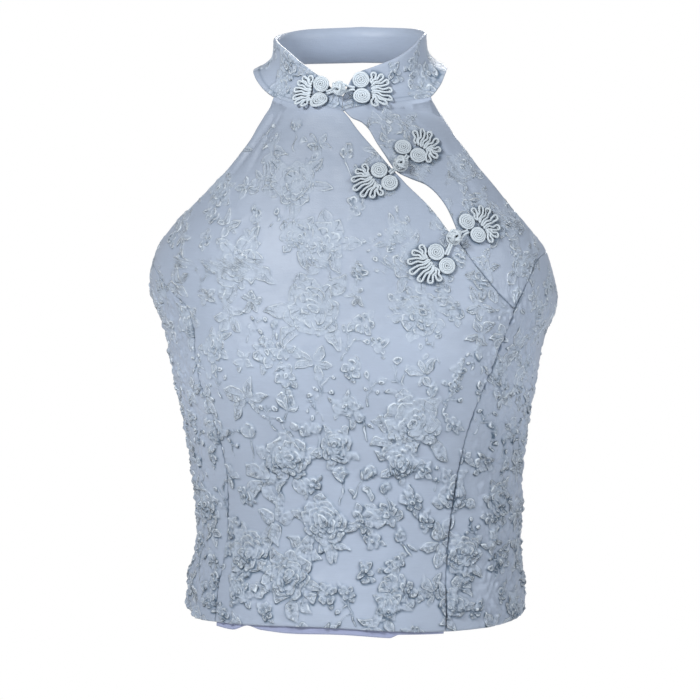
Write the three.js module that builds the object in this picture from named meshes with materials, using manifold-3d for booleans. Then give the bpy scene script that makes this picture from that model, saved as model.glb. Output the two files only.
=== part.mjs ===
// Chinese style halter top, in millimetres, +Z up. X runs to the wearer's left and the front faces -Y.
// The origin is the centre of the neck, level with the sides of the collar's lower edge.
// Angles are degrees round the body from the centre front, positive to the wearer's left.
import * as THREE from 'three';
import { mergeVertices } from 'three/addons/utils/BufferGeometryUtils.js';
import Module from 'manifold-3d';

// Driving dimensions
const CLOTH = 1.5;
const COLLAR_CLOTH = 2;
const FACING_CLOTH = 1;
const SEAM = 0.3;
const NECK_SEAM = 0.6;
const SEAM_TIP = 0.9;
const SIDE_SEAM_ANGLE = 92;
const BACK_SEAM_ANGLE = 180;
const COLLAR_OPENING = { angle: 4.5, width: 1 };
const NECKLINE_ROW = -31;
const NECKLINE_BLEND_ROW = -46;
const DIAGONAL_END = -178;
const BUST_SEAM_START = { right: -141, left: -137 };
const UNDERARM_ROW = -170;
const HEM_ROW = -412.5;
const HEM_BLEND_ROW = -369;
const SQUARENESS = { neck: 2, chest: 2.25, from: -27, over: 45 };
const BUST = { z: -222, spread: 36, angle: 34, width: 22, out: 9 };
const COLLAR_RING = { side: 58, front: 52, sideFlare: 16, frontFlare: 6, flarePower: 4.6 };
const COLLAR_GRID = { around: 46, up: 5, crowding: 1.9, frontCrowding: 0.09 };
const FACING = { from: -52, to: 45, above: 12, steps: 24 };
const DISC = { radius: 5.6, height: 2.2, sides: 14, apart: 11.6 };
const DISC_COIL = { round: 0.45, ring: 1.9, groove: 0.65, depth: 0.45 };
const FAN = { loops: 7, sweep: 80, reach: 17, halfWidth: 11, thick: 1.3 };
const FAN_ROOT = { at: 7.4, halfWidth: 5, bulge: 0.4 };
const FAN_CORD = { leg: 0.9, straight: 0.45 };
const EYELET = { radius: 2.1, end: 125, step: 62.5, hole: 1, holeSides: 4 };
const KNOT = { radius: 4, flat: 0.85, cord: 0.9, band: 0.3, tilt: 55, round: 16, rows: 11, height: 1.9 };
const KNOT_NECK = { radius: 1, into: 1.5, sides: 6 };
const STEM = { halfWidth: 1.1, low: 0.5, high: 1.6, notch: 4.5 };
const LOOP = { closed: 0.8, open: 2.3, cord: 1.1, short: 1 };
const CORD_STEP = 4;
const FASTENING_LIFT = 0.8;

// Level sections of the body: half-width, depth to the front and back, and sway to the wearer's left
const SECTIONS = [
  { z: 30, side: 74, front: 57, back: 58, sway: 0 },
  { z: -14, side: 74, front: 57, back: 58, sway: 0 },
  { z: -27, side: 75, front: 58, back: 60, sway: 0.5 },
  { z: -36, side: 84, front: 62, back: 66, sway: 1.5 },
  { z: -46, side: 94, front: 67, back: 66, sway: 2.5 },
  { z: -60, side: 106, front: 74, back: 72, sway: 3.5 },
  { z: -80, side: 119, front: 83.5, back: 78, sway: 4 },
  { z: -100, side: 131, front: 92, back: 84, sway: 4 },
  { z: -120, side: 142, front: 100, back: 88, sway: 3.5 },
  { z: -140, side: 151.2, front: 106.5, back: 90, sway: 2.8 },
  { z: -160, side: 154.9, front: 111, back: 91, sway: 2.7 },
  { z: -169, side: 154.6, front: 113, back: 91.5, sway: 3.2 },
  { z: -178, side: 152.2, front: 114.5, back: 92, sway: 4.4 },
  { z: -187, side: 148.6, front: 116, back: 92, sway: 5.2 },
  { z: -196, side: 144.2, front: 117, back: 92, sway: 5.2 },
  { z: -205, side: 141.6, front: 117.5, back: 91.5, sway: 4.8 },
  { z: -223, side: 138.4, front: 116.5, back: 90, sway: 5 },
  { z: -251, side: 132.6, front: 111, back: 87, sway: 5.3 },
  { z: -278, side: 128.1, front: 103.5, back: 83, sway: 5.7 },
  { z: -305, side: 124.8, front: 96.5, back: 79, sway: 5.6 },
  { z: -333, side: 122.6, front: 91.5, back: 77.5, sway: 6.8 },
  { z: -351, side: 122, front: 90, back: 79, sway: 6.6 },
  { z: -369, side: 123.3, front: 91, back: 84, sway: 5.8 },
  { z: -388, side: 126.8, front: 94.5, back: 91, sway: 4.5 },
  { z: -412, side: 128, front: 99, back: 98, sway: 4.5 },
  { z: -430, side: 128.5, front: 100, back: 100, sway: 4.5 },
];

// Armhole edges, from the neck corners to the side seams
const ARMHOLES = [
  { z: -31, right: -50.5, left: 69 },
  { z: -37, right: -53, left: 69.5 },
  { z: -43, right: -52.8, left: 67 },
  { z: -52, right: -52, left: 65 },
  { z: -69, right: -54, left: 66 },
  { z: -87, right: -59.2, left: 69.7 },
  { z: -105, right: -66.4, left: 73.6 },
  { z: -123, right: -75.7, left: 79.6 },
  { z: -137, right: -82.8, left: 83.8 },
  { z: -150, right: -86.5, left: 86 },
  { z: -170, right: -92, left: 92 },
];

// Seams that run from the armholes over the bust to the hem
const BUST_SEAMS = [
  { z: -137, right: -90, left: 83.8 },
  { z: -141, right: -83.8, left: 77 },
  { z: -145, right: -78, left: 74 },
  { z: -153, right: -69.5, left: 71 },
  { z: -162, right: -62.5, left: 67.8 },
  { z: -170, right: -56.8, left: 65.3 },
  { z: -178, right: -52.2, left: 63 },
  { z: -194, right: -49.8, left: 61 },
  { z: -211, right: -48.8, left: 58 },
  { z: -235, right: -48.2, left: 53.9 },
  { z: -265, right: -47.6, left: 51.2 },
  { z: -300, right: -48, left: 50 },
  { z: -339, right: -51.6, left: 48.4 },
  { z: -371, right: -53, left: 47.4 },
  { z: -412.5, right: -52, left: 45.4 },
];

// The slanting closing: the front's straight edge and the chest piece's edge, which bows away twice
const DIAGONAL = [
  { z: -31, front: 4.2, chest: 5.1 },
  { z: -38, front: 8.6, chest: 10.4 },
  { z: -41, front: 10.2, chest: 16 },
  { z: -46, front: 13, chest: 20 },
  { z: -55, front: 18.2, chest: 22.7 },
  { z: -64, front: 23.2, chest: 25.8 },
  { z: -77, front: 29.2, chest: 30.3 },
  { z: -82, front: 31.6, chest: 35.6 },
  { z: -86.5, front: 33.5, chest: 41.3 },
  { z: -94, front: 37, chest: 44.8 },
  { z: -102.5, front: 40.5, chest: 46.7 },
  { z: -111, front: 43, chest: 47.6 },
  { z: -121, front: 45.4, chest: 48.2 },
  { z: -128, front: 47.2, chest: 48.6 },
  { z: -132, front: 48.7, chest: 49.1 },
  { z: -149, front: 52.9, chest: 52.9 },
  { z: -166, front: 57.8, chest: 57.8 },
  { z: -178, front: 62.5, chest: 62.5 },
];

// Collar edges: heights of the lower and the upper edge round the neck
const COLLAR_EDGES = [
  { angle: -180, lower: 8, upper: 34 },
  { angle: -135, lower: 7, upper: 32 },
  { angle: -105, lower: 4, upper: 27.6 },
  { angle: -84, lower: -0.6, upper: 23.8 },
  { angle: -72, lower: -6.8, upper: 21.4 },
  { angle: -60, lower: -15, upper: 17.4 },
  { angle: -50, lower: -20.6, upper: 13.2 },
  { angle: -34, lower: -25.2, upper: 4.2 },
  { angle: -19, lower: -27.4, upper: -4.6 },
  { angle: -12, lower: -28.1, upper: -8.4 },
  { angle: -7, lower: -28.7, upper: -13.8 },
  { angle: -1, lower: -29.5, upper: -18.9 },
  { angle: 4.5, lower: -31, upper: -21.2 },
  { angle: 8, lower: -30.1, upper: -15.3 },
  { angle: 12, lower: -29.1, upper: -8.3 },
  { angle: 17, lower: -28.2, upper: -4 },
  { angle: 30, lower: -26.3, upper: 0.4 },
  { angle: 50, lower: -23.9, upper: 7.4 },
  { angle: 66, lower: -21.6, upper: 15.2 },
  { angle: 78, lower: -12.2, upper: 21.8 },
  { angle: 88, lower: -2.2, upper: 25.6 },
  { angle: 105, lower: 4, upper: 28.4 },
  { angle: 135, lower: 7, upper: 32 },
  { angle: 180, lower: 8, upper: 34 },
];

const HEMLINE = [
  { angle: -180, z: -408 },
  { angle: -90, z: -406.5 },
  { angle: -75, z: -408.5 },
  { angle: -60, z: -413.2 },
  { angle: -45, z: -413 },
  { angle: -10, z: -412 },
  { angle: 45, z: -415.2 },
  { angle: 60, z: -414.6 },
  { angle: 90, z: -410.5 },
  { angle: 180, z: -408 },
];

// How far the facing's edge hangs below the hem
const FACING_DROP = [
  { angle: -52, drop: 3 },
  { angle: -44, drop: 4.5 },
  { angle: -37, drop: 0.6 },
  { angle: -31, drop: 3.3 },
  { angle: -15, drop: 5.4 },
  { angle: 8, drop: 4.6 },
  { angle: 24, drop: 5 },
  { angle: 28, drop: 2.3 },
  { angle: 45, drop: 1.5 },
];

// Creases that the cloth's pull draws from the right neck corner down the armhole
const CREASES = [
  { angle: -46.5, z: -44, length: 17, width: 2.6, depth: 1.3, lean: 8 },
  { angle: -42, z: -50, length: 20, width: 2.4, depth: 1.1, lean: 4 },
  { angle: -49, z: -66, length: 14, width: 2.6, depth: 0.9, lean: 14 },
];

// Heights between which the cloth's rows are evenly spaced
const ROW_STRETCHES = [
  { to: -46, rows: 4 },
  { to: -77, rows: 4 },
  { to: -95, rows: 4 },
  { to: -131, rows: 5 },
  { to: -137, rows: 1 },
  { to: -145, rows: 2 },
  { to: -170, rows: 3 },
  { to: -178, rows: 1 },
  { to: -223, rows: 5 },
  { to: -305, rows: 6 },
  { to: -333, rows: 2 },
  { to: -369, rows: 4 },
  { to: -412.5, rows: 4 },
];

// Frogs: the knot, and for each half the middle of its two discs and the way that it points.
// On the collar a place's height is a share of the band, and elsewhere it is z.
const FROGS = [
  {
    name: 'neck',
    on: 'collar',
    knot: { angle: 2, height: 1.5 },
    halves: [
      { side: 'right', angle: -13.5, height: 0.32, turn: 176, fanTurn: -4 },
      { side: 'left', angle: 19.5, height: 0.4, turn: 3, fanTurn: 0 },
    ],
  },
  {
    name: 'upper',
    on: 'body',
    knot: { angle: 33.5, height: -70.3 },
    halves: [
      { side: 'right', angle: 27, height: -80.5, turn: 217, fanTurn: -9 },
      { side: 'left', angle: 38.6, height: -62.4, turn: 26, fanTurn: -4 },
    ],
  },
  {
    name: 'chest',
    on: 'body',
    knot: { angle: 46.1, height: -126.5 },
    halves: [
      { side: 'right', angle: 42, height: -141, turn: 216, fanTurn: -10 },
      { side: 'left', angle: 54.8, height: -119.5, turn: 33, fanTurn: -10 },
    ],
  },
];

const FINISHES = {
  cloth: { color: 0xacb8cf, roughness: 0.62, metalness: 0 },
  facing: { color: 0x9fa6c8, roughness: 0.7, metalness: 0 },
  cord: { color: 0xbdc9d8, roughness: 0.45, metalness: 0 },
};

const wasm = await Module();
wasm.setup();
const top = new THREE.Group();
const degrees = Math.PI / 180;

// Smooth reading of a table between its rows, which never swings past them
function reader(rows, key) {
  const sorted = [...rows].sort((a, b) => a[key] - b[key]);
  const last = sorted.length - 1;
  const rate = (i, column) => {
    const run = sorted[i + 1][key] - sorted[i][key];
    return (sorted[i + 1][column] - sorted[i][column]) / run;
  };
  const slope = (i, column) => {
    if (i === 0) return rate(0, column);
    if (i === last) return rate(last - 1, column);
    const before = rate(i - 1, column);
    const after = rate(i, column);
    return before * after <= 0 ? 0 : (2 * before * after) / (before + after);
  };
  return (at, column) => {
    let i = 0;
    while (i < last - 1 && at > sorted[i + 1][key]) i += 1;
    const span = sorted[i + 1][key] - sorted[i][key];
    const t = THREE.MathUtils.clamp((at - sorted[i][key]) / span, 0, 1);
    const left = 1 - t;
    const start = (1 + 2 * t) * left ** 2 * sorted[i][column] + t * left ** 2 * span * slope(i, column);
    const end = t * t * (3 - 2 * t) * sorted[i + 1][column] - t * t * left * span * slope(i + 1, column);
    return start + end;
  };
}

const section = reader(SECTIONS, 'z');
const armhole = reader(ARMHOLES, 'z');
const bustSeam = reader(BUST_SEAMS, 'z');
const diagonal = reader(DIAGONAL, 'z');
const collarEdge = reader(COLLAR_EDGES, 'angle');
const hemline = reader(HEMLINE, 'angle');
const facingDrop = reader(FACING_DROP, 'angle');

// How far a crease sinks the cloth at a place
function creaseDepth(crease, angle, z, radius) {
  const across = (angle - crease.angle) * degrees * radius;
  const along = z - crease.z;
  const lean = Math.tan(crease.lean * degrees);
  const off = (across - along * lean) / crease.width;
  return crease.depth * Math.exp(-off * off - (along / crease.length) ** 2);
}

// The body's outer surface at an angle and a height
function bodyPoint(angle, z) {
  const settle = THREE.MathUtils.smoothstep(SQUARENESS.from - z, 0, SQUARENESS.over);
  const power = SQUARENESS.neck + (SQUARENESS.chest - SQUARENESS.neck) * settle;
  const sine = Math.sin(angle * degrees);
  const cosine = Math.cos(angle * degrees);
  const depthwise = Math.abs(cosine / section(z, cosine > 0 ? 'front' : 'back'));
  const sidewise = Math.abs(sine / section(z, 'side'));
  let radius = (depthwise ** power + sidewise ** power) ** (-1 / power);
  if (cosine > 0) {
    const level = Math.exp(-(((z - BUST.z) / BUST.spread) ** 2));
    radius += BUST.out * level * Math.exp(-(((Math.abs(angle) - BUST.angle) / BUST.width) ** 2));
    for (const crease of CREASES) radius -= creaseDepth(crease, angle, z, radius);
  }
  return new THREE.Vector3(section(z, 'sway') + radius * sine, -radius * cosine, z);
}

// The collar's outer surface at an angle and a share of the band's height
function collarPoint(angle, share) {
  const flare = Math.max(1 - share, 0) ** COLLAR_RING.flarePower;
  const side = COLLAR_RING.side + COLLAR_RING.sideFlare * flare;
  const front = COLLAR_RING.front + COLLAR_RING.frontFlare * flare;
  const sine = Math.sin(angle * degrees);
  const cosine = Math.cos(angle * degrees);
  const radius = 1 / Math.hypot(sine / side, cosine / front);
  const lower = collarEdge(angle, 'lower');
  const z = lower + (collarEdge(angle, 'upper') - lower) * share;
  return new THREE.Vector3(radius * sine, -radius * cosine, z);
}

// Outward normal of a surface given as a function of an angle and a height
function normalOf(surface, angle, height, step) {
  const along = surface(angle + 0.5, height).sub(surface(angle - 0.5, height));
  const up = surface(angle, height + step).sub(surface(angle, height - step));
  return along.cross(up).normalize();
}
const bodyNormal = (angle, z) => normalOf(bodyPoint, angle, z, 0.5);
const collarNormal = (angle, share) => normalOf(collarPoint, angle, share, 0.02);

// A row's real height: the top rows follow the neckline and the bottom rows follow the hem
function rowHeight(row, angle) {
  if (row > NECKLINE_BLEND_ROW) {
    const share = (row - NECKLINE_BLEND_ROW) / (NECKLINE_ROW - NECKLINE_BLEND_ROW);
    const neckline = collarEdge(angle, 'lower') - NECK_SEAM;
    return NECKLINE_BLEND_ROW + share * (neckline - NECKLINE_BLEND_ROW);
  }
  if (row < HEM_BLEND_ROW) {
    const share = (row - HEM_BLEND_ROW) / (HEM_ROW - HEM_BLEND_ROW);
    return HEM_BLEND_ROW + share * (hemline(angle, 'z') - HEM_BLEND_ROW);
  }
  return row;
}

function clothRows(from, to) {
  const rows = [NECKLINE_ROW];
  for (const stretch of ROW_STRETCHES) {
    const start = rows[rows.length - 1];
    for (let i = 1; i <= stretch.rows; i += 1) rows.push(start + ((stretch.to - start) * i) / stretch.rows);
  }
  return rows.filter((row) => row <= from + 0.01 && row >= to - 0.01);
}

// Closed wall between a grid of outer points and its inner copy, rows running down and columns to +angle
function wallGeometry(outer, inner) {
  const rows = outer.length;
  const columns = outer[0].length;
  const points = [...outer.flat(), ...inner.flat()];
  const index = [];
  const out = (r, c) => r * columns + c;
  const inn = (r, c) => rows * columns + r * columns + c;
  const quad = (a, b, c, d) => index.push(a, b, c, a, c, d);
  for (let r = 0; r < rows - 1; r += 1) {
    for (let c = 0; c < columns - 1; c += 1) {
      quad(out(r, c), out(r + 1, c), out(r + 1, c + 1), out(r, c + 1));
      quad(inn(r, c), inn(r, c + 1), inn(r + 1, c + 1), inn(r + 1, c));
    }
    quad(out(r, 0), inn(r, 0), inn(r + 1, 0), out(r + 1, 0));
    quad(out(r, columns - 1), out(r + 1, columns - 1), inn(r + 1, columns - 1), inn(r, columns - 1));
  }
  for (let c = 0; c < columns - 1; c += 1) {
    quad(out(0, c), out(0, c + 1), inn(0, c + 1), inn(0, c));
    quad(out(rows - 1, c), inn(rows - 1, c), inn(rows - 1, c + 1), out(rows - 1, c + 1));
  }
  const geometry = new THREE.BufferGeometry();
  const positions = points.flatMap((p) => p.toArray());
  geometry.setAttribute('position', new THREE.Float32BufferAttribute(positions, 3));
  geometry.setIndex(index);
  geometry.computeVertexNormals();
  return geometry;
}

// A point moved into the wall, level along an edge that meets another piece
function moveIn(point, normal, thickness, level) {
  const direction = normal.clone();
  if (level) direction.z = 0;
  return point.clone().addScaledVector(direction.normalize(), -thickness);
}

function addPiece(name, geometry, finish) {
  const mesh = new THREE.Mesh(geometry, new THREE.MeshStandardMaterial(FINISHES[finish]));
  mesh.name = name;
  top.add(mesh);
}

// A body panel between two edges, each an angle for every row. A pointed end keeps a blunt tip,
// which grows away from the edge that the panel shares with its neighbour.
function addPanel(name, { from, to, columns, start, end, sharedEdge = 'start' }) {
  const outer = [];
  const inner = [];
  for (const row of clothRows(from, to)) {
    const radius = section(row, 'side');
    const gap = SEAM / 2 / radius / degrees;
    const tip = SEAM_TIP / radius / degrees;
    let first = start(row) + gap;
    let last = end(row) - gap;
    if (last - first < tip && sharedEdge === 'start') last = first + tip;
    if (last - first < tip && sharedEdge === 'end') first = last - tip;
    const outerRow = [];
    const innerRow = [];
    for (let i = 0; i <= columns; i += 1) {
      const angle = first + ((last - first) * i) / columns;
      const z = rowHeight(row, angle);
      const point = bodyPoint(angle, z);
      outerRow.push(point);
      innerRow.push(moveIn(point, bodyNormal(angle, z), CLOTH, row === NECKLINE_ROW));
    }
    outer.push(outerRow);
    inner.push(innerRow);
  }
  addPiece(name, wallGeometry(outer, inner), 'cloth');
}

// Front, chest piece, side fronts and backs
const rightBustSeam = (row) => bustSeam(row, 'right');
const leftBustSeam = (row) => bustSeam(row, 'left');
const rightFrontEdge = (row) => (row > BUST_SEAM_START.right ? armhole(row, 'right') : rightBustSeam(row));
const leftFrontEdge = (row) => (row >= DIAGONAL_END ? diagonal(row, 'front') : leftBustSeam(row));
const chestOuterEdge = (row) => (row > BUST_SEAM_START.left ? armhole(row, 'left') : leftBustSeam(row));
const rightSideEdge = (row) => (row > UNDERARM_ROW ? armhole(row, 'right') : -SIDE_SEAM_ANGLE);
const leftSideEdge = (row) => (row > UNDERARM_ROW ? armhole(row, 'left') : SIDE_SEAM_ANGLE);

addPanel('front_main', {
  from: NECKLINE_ROW,
  to: HEM_ROW,
  columns: 16,
  start: rightFrontEdge,
  end: leftFrontEdge,
});
addPanel('front_upper_left', {
  from: NECKLINE_ROW,
  to: DIAGONAL_END,
  columns: 8,
  start: (row) => diagonal(row, 'chest'),
  end: chestOuterEdge,
});
addPanel('side_front_right', {
  from: BUST_SEAM_START.right,
  to: HEM_ROW,
  columns: 5,
  start: rightSideEdge,
  end: rightBustSeam,
  sharedEdge: 'end',
});
addPanel('side_front_left', {
  from: BUST_SEAM_START.left,
  to: HEM_ROW,
  columns: 5,
  start: leftBustSeam,
  end: leftSideEdge,
});
addPanel('back_right', {
  from: UNDERARM_ROW,
  to: HEM_ROW,
  columns: 8,
  start: () => -BACK_SEAM_ANGLE,
  end: () => -SIDE_SEAM_ANGLE,
});
addPanel('back_left', {
  from: UNDERARM_ROW,
  to: HEM_ROW,
  columns: 8,
  start: () => SIDE_SEAM_ANGLE,
  end: () => BACK_SEAM_ANGLE,
});

// Stand collar, one band that opens at the front
function addCollar() {
  const outer = [];
  const inner = [];
  const gap = COLLAR_OPENING.width / 2 / COLLAR_RING.front / degrees;
  for (let r = 0; r <= COLLAR_GRID.up; r += 1) {
    const share = (1 - r / COLLAR_GRID.up) ** COLLAR_GRID.crowding;
    const outerRow = [];
    const innerRow = [];
    for (let i = 0; i <= COLLAR_GRID.around; i += 1) {
      const round = i / COLLAR_GRID.around;
      const eased = round - COLLAR_GRID.frontCrowding * Math.sin(2 * Math.PI * round);
      const turned = COLLAR_OPENING.angle + gap + (360 - 2 * gap) * eased;
      const angle = turned > 180 ? turned - 360 : turned;
      const point = collarPoint(angle, share);
      outerRow.push(point);
      innerRow.push(moveIn(point, collarNormal(angle, share), COLLAR_CLOTH, r === COLLAR_GRID.up));
    }
    outer.push(outerRow);
    inner.push(innerRow);
  }
  addPiece('collar', wallGeometry(outer, inner), 'cloth');
}
addCollar();

// Hem facing, inside the front and a little longer
function addFacing() {
  const outer = [];
  const inner = [];
  for (const share of [0, 0.5, 1]) {
    const outerRow = [];
    const innerRow = [];
    for (let i = 0; i <= FACING.steps; i += 1) {
      const angle = FACING.from + ((FACING.to - FACING.from) * i) / FACING.steps;
      const hem = hemline(angle, 'z');
      const z = hem + FACING.above - (FACING.above + facingDrop(angle, 'drop')) * share;
      const normal = bodyNormal(angle, z);
      const point = bodyPoint(angle, z).addScaledVector(normal, -CLOTH - SEAM);
      outerRow.push(point);
      innerRow.push(moveIn(point, normal, FACING_CLOTH, false));
    }
    outer.push(outerRow);
    inner.push(innerRow);
  }
  addPiece('hem_facing', wallGeometry(outer, inner), 'facing');
}
addFacing();

// Surfaces that a frog can lie on, and the way back from a point near them to an angle and a height
const GROUNDS = {
  body: {
    point: bodyPoint,
    normal: bodyNormal,
    place: (p) => [Math.atan2(p.x - section(p.z, 'sway'), -p.y) / degrees, p.z],
  },
  collar: {
    point: collarPoint,
    normal: collarNormal,
    place: (p) => {
      const angle = Math.atan2(p.x, -p.y) / degrees;
      const lower = collarEdge(angle, 'lower');
      return [angle, (p.z - lower) / (collarEdge(angle, 'upper') - lower)];
    },
  },
};

// A small flat frame on the cloth: forward and across lie along the cloth, up points out of it
function clothFrame(groundName, place, turn) {
  const ground = GROUNDS[groundName];
  const origin = ground.point(place.angle, place.height);
  const up = ground.normal(place.angle, place.height);
  const level = new THREE.Vector3(-up.y, up.x, 0).normalize();
  const rise = up.clone().cross(level);
  const forward = level.clone().multiplyScalar(Math.cos(turn * degrees));
  forward.addScaledVector(rise, Math.sin(turn * degrees));
  return { ground, origin, up, forward, across: up.clone().cross(forward) };
}

// A place in the frame, laid on the cloth and lifted out of it
function onCloth(frame, forward, across, lift) {
  const [angle, height] = frame.ground.place(inPlane(frame, forward, across, 0));
  return frame.ground.point(angle, height).addScaledVector(frame.ground.normal(angle, height), lift);
}

// A place in the frame, in its flat plane
function inPlane(frame, forward, across, lift) {
  const point = frame.origin.clone().addScaledVector(frame.forward, forward);
  return point.addScaledVector(frame.across, across).addScaledVector(frame.up, lift);
}

// Solids are joined with shared vertices only and without empty triangles
function solidOf(geometry) {
  const bare = geometry.clone();
  bare.deleteAttribute('normal');
  bare.deleteAttribute('uv');
  const merged = mergeVertices(bare, 1e-4);
  const triangles = [];
  const index = merged.index.array;
  for (let i = 0; i < index.length; i += 3) {
    const [a, b, c] = [index[i], index[i + 1], index[i + 2]];
    if (a !== b && b !== c && c !== a) triangles.push(a, b, c);
  }
  const vertProperties = new Float32Array(merged.attributes.position.array);
  const triVerts = new Uint32Array(triangles);
  return new wasm.Manifold(new wasm.Mesh({ numProp: 3, vertProperties, triVerts }));
}

// A solid's vertices, each moved from the flat frame to its place
function placedGeometry(solid, move) {
  const mesh = solid.getMesh();
  const positions = [];
  for (let i = 0; i < mesh.numVert; i += 1) {
    const at = i * mesh.numProp;
    const [x, y, z] = [mesh.vertProperties[at], mesh.vertProperties[at + 1], mesh.vertProperties[at + 2]];
    positions.push(...move(x, y, z).toArray());
  }
  const geometry = new THREE.BufferGeometry();
  geometry.setAttribute('position', new THREE.Float32BufferAttribute(positions, 3));
  geometry.setIndex([...mesh.triVerts]);
  geometry.computeVertexNormals();
  return geometry;
}

// Coiled disc: a round pad with two rings pressed between the turns of its cord
function discSolid() {
  const profile = [[0, 0], [DISC.radius - DISC_COIL.round, 0], [DISC.radius, DISC.height / 2]];
  for (let edge = DISC.radius - DISC_COIL.round; edge > DISC_COIL.ring; edge -= DISC_COIL.ring) {
    const groove = edge - DISC_COIL.ring * DISC_COIL.groove;
    profile.push([edge, DISC.height], [groove, DISC.height - DISC_COIL.depth]);
  }
  profile.push([0, DISC.height]);
  const lathe = new THREE.LatheGeometry(profile.map(([x, y]) => new THREE.Vector2(x, y)), DISC.sides);
  return solidOf(lathe.rotateX(Math.PI / 2));
}

// The least lift at which a flat round pad clears the cloth below all of its rim
function seatLift(frame, across) {
  let clearance = Infinity;
  for (let i = 0; i < DISC.sides; i += 1) {
    for (const share of [0.5, 1]) {
      const a = (2 * Math.PI * i) / DISC.sides;
      const reach = DISC.radius * share;
      const rim = inPlane(frame, reach * Math.cos(a), across + reach * Math.sin(a), 0);
      const [angle, height] = frame.ground.place(rim);
      const ground = frame.ground.point(angle, height);
      clearance = Math.min(clearance, rim.sub(ground).dot(frame.ground.normal(angle, height)));
    }
  }
  return FASTENING_LIFT - Math.min(clearance, 0);
}

// One looped cord of a fan: a leg that ends in a round eyelet, drawn along its own line
function fanLoop(angle) {
  const sine = Math.sin(angle * degrees);
  const cosine = Math.cos(angle * degrees);
  const root = new THREE.Vector2(FAN_ROOT.at + FAN_ROOT.bulge * cosine, FAN_ROOT.halfWidth * sine);
  const tip = new THREE.Vector2(FAN_ROOT.at + FAN.reach * cosine - FAN_CORD.leg, FAN.halfWidth * sine);
  const along = tip.clone().sub(root);
  const length = along.length();
  const straight = length * FAN_CORD.straight;
  along.normalize();
  const side = new THREE.Vector2(-along.y, along.x);
  const place = (forward, sideways) => {
    const point = root.clone().addScaledVector(along, forward);
    return point.addScaledVector(side, sideways);
  };
  const round = (radius, turn) => place(length + radius * Math.cos(turn), radius * Math.sin(turn));
  const outline = [place(0, -FAN_CORD.leg), place(straight, -FAN_CORD.leg)];
  for (let turn = -EYELET.end; turn <= EYELET.end; turn += EYELET.step) {
    outline.push(round(EYELET.radius, turn * degrees));
  }
  outline.push(place(straight, FAN_CORD.leg), place(0, FAN_CORD.leg));
  const shape = new THREE.Shape(outline);
  const hole = [];
  for (let i = 0; i < EYELET.holeSides; i += 1) {
    hole.push(round(EYELET.hole, (2 * Math.PI * i) / EYELET.holeSides));
  }
  shape.holes.push(new THREE.Path(hole));
  return solidOf(new THREE.ExtrudeGeometry(shape, { depth: FAN.thick, bevelEnabled: false }));
}

// The bend of cord that ties the loops together beside the discs
function fanRoot() {
  const near = [];
  const far = [];
  for (let i = 0; i < FAN.loops; i += 1) {
    const across = FAN_ROOT.halfWidth * (-1 + (2 * i) / (FAN.loops - 1));
    near.push(new THREE.Vector2(FAN_ROOT.at - FAN_CORD.leg * 0.5, across));
    far.push(new THREE.Vector2(FAN_ROOT.at + FAN_CORD.leg * 1.5, across));
  }
  const shape = new THREE.Shape([...near.reverse(), ...far]);
  return solidOf(new THREE.ExtrudeGeometry(shape, { depth: FAN.thick, bevelEnabled: false }));
}

function fanSolid() {
  const step = (2 * FAN.sweep) / (FAN.loops - 1);
  let fan = fanRoot();
  for (let i = 0; i < FAN.loops; i += 1) fan = fan.add(fanLoop(-FAN.sweep + step * i));
  return fan;
}

// Ball knot: a ball whose cord passes over it in three crossing bands, on a short neck
function knotSolid() {
  const ball = new THREE.SphereGeometry(KNOT.radius, KNOT.round, KNOT.rows);
  const upright = new THREE.Vector3(0, 0, 1);
  const tilted = new THREE.Vector3(Math.sin(KNOT.tilt * degrees), 0, Math.cos(KNOT.tilt * degrees));
  const bands = [0, 120, 240].map((turn) => tilted.clone().applyAxisAngle(upright, turn * degrees));
  const position = ball.attributes.position;
  for (let i = 0; i < position.count; i += 1) {
    const direction = new THREE.Vector3().fromBufferAttribute(position, i).normalize();
    const off = Math.min(...bands.map((band) => Math.abs(direction.dot(band))));
    const ridge = KNOT.cord * Math.exp(-((off / KNOT.band) ** 2));
    position.setXYZ(i, ...direction.multiplyScalar(KNOT.radius + ridge).toArray());
  }
  const middle = KNOT.height + (KNOT.radius + KNOT.cord) * KNOT.flat;
  const raised = solidOf(ball.scale(1, 1, KNOT.flat).translate(0, 0, middle));
  const neckHeight = KNOT.height + KNOT_NECK.into - STEM.low;
  const neck = new THREE.CylinderGeometry(KNOT_NECK.radius, KNOT_NECK.radius, neckHeight, KNOT_NECK.sides);
  return raised.add(solidOf(neck.rotateX(Math.PI / 2).translate(0, 0, STEM.low + neckHeight / 2)));
}

// A doubled cord laid on the cloth from the discs' notch to under the knot
function stemSolid(length) {
  const steps = Math.max(2, Math.round(length / CORD_STEP));
  const box = new THREE.BoxGeometry(length, STEM.halfWidth * 2, STEM.high - STEM.low, steps, 1, 1);
  return solidOf(box.translate(length / 2, 0, (STEM.high + STEM.low) / 2));
}

// The loop: a doubled cord from the notch, whose two legs part and end under the knot, beside its neck
function loopSolid(length) {
  const end = length - LOOP.short;
  const steps = Math.max(3, Math.round(end / CORD_STEP));
  const outer = [];
  const inner = [];
  for (let i = 0; i <= steps; i += 1) {
    const share = i / steps;
    const spread = THREE.MathUtils.lerp(LOOP.closed, LOOP.open, share ** 2);
    outer.push([end * share, spread + LOOP.cord / 2]);
    if (i > 0) inner.push([end * share, spread - LOOP.cord / 2]);
  }
  const right = [...outer, ...[...inner].reverse()];
  const left = [...right].reverse().map(([x, y]) => [x, -y]);
  const shape = new THREE.Shape([...right, ...left].map(([x, y]) => new THREE.Vector2(x, y)));
  const cord = new THREE.ExtrudeGeometry(shape, { depth: STEM.high - STEM.low, bevelEnabled: false });
  return solidOf(cord.translate(0, 0, STEM.low));
}

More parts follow.
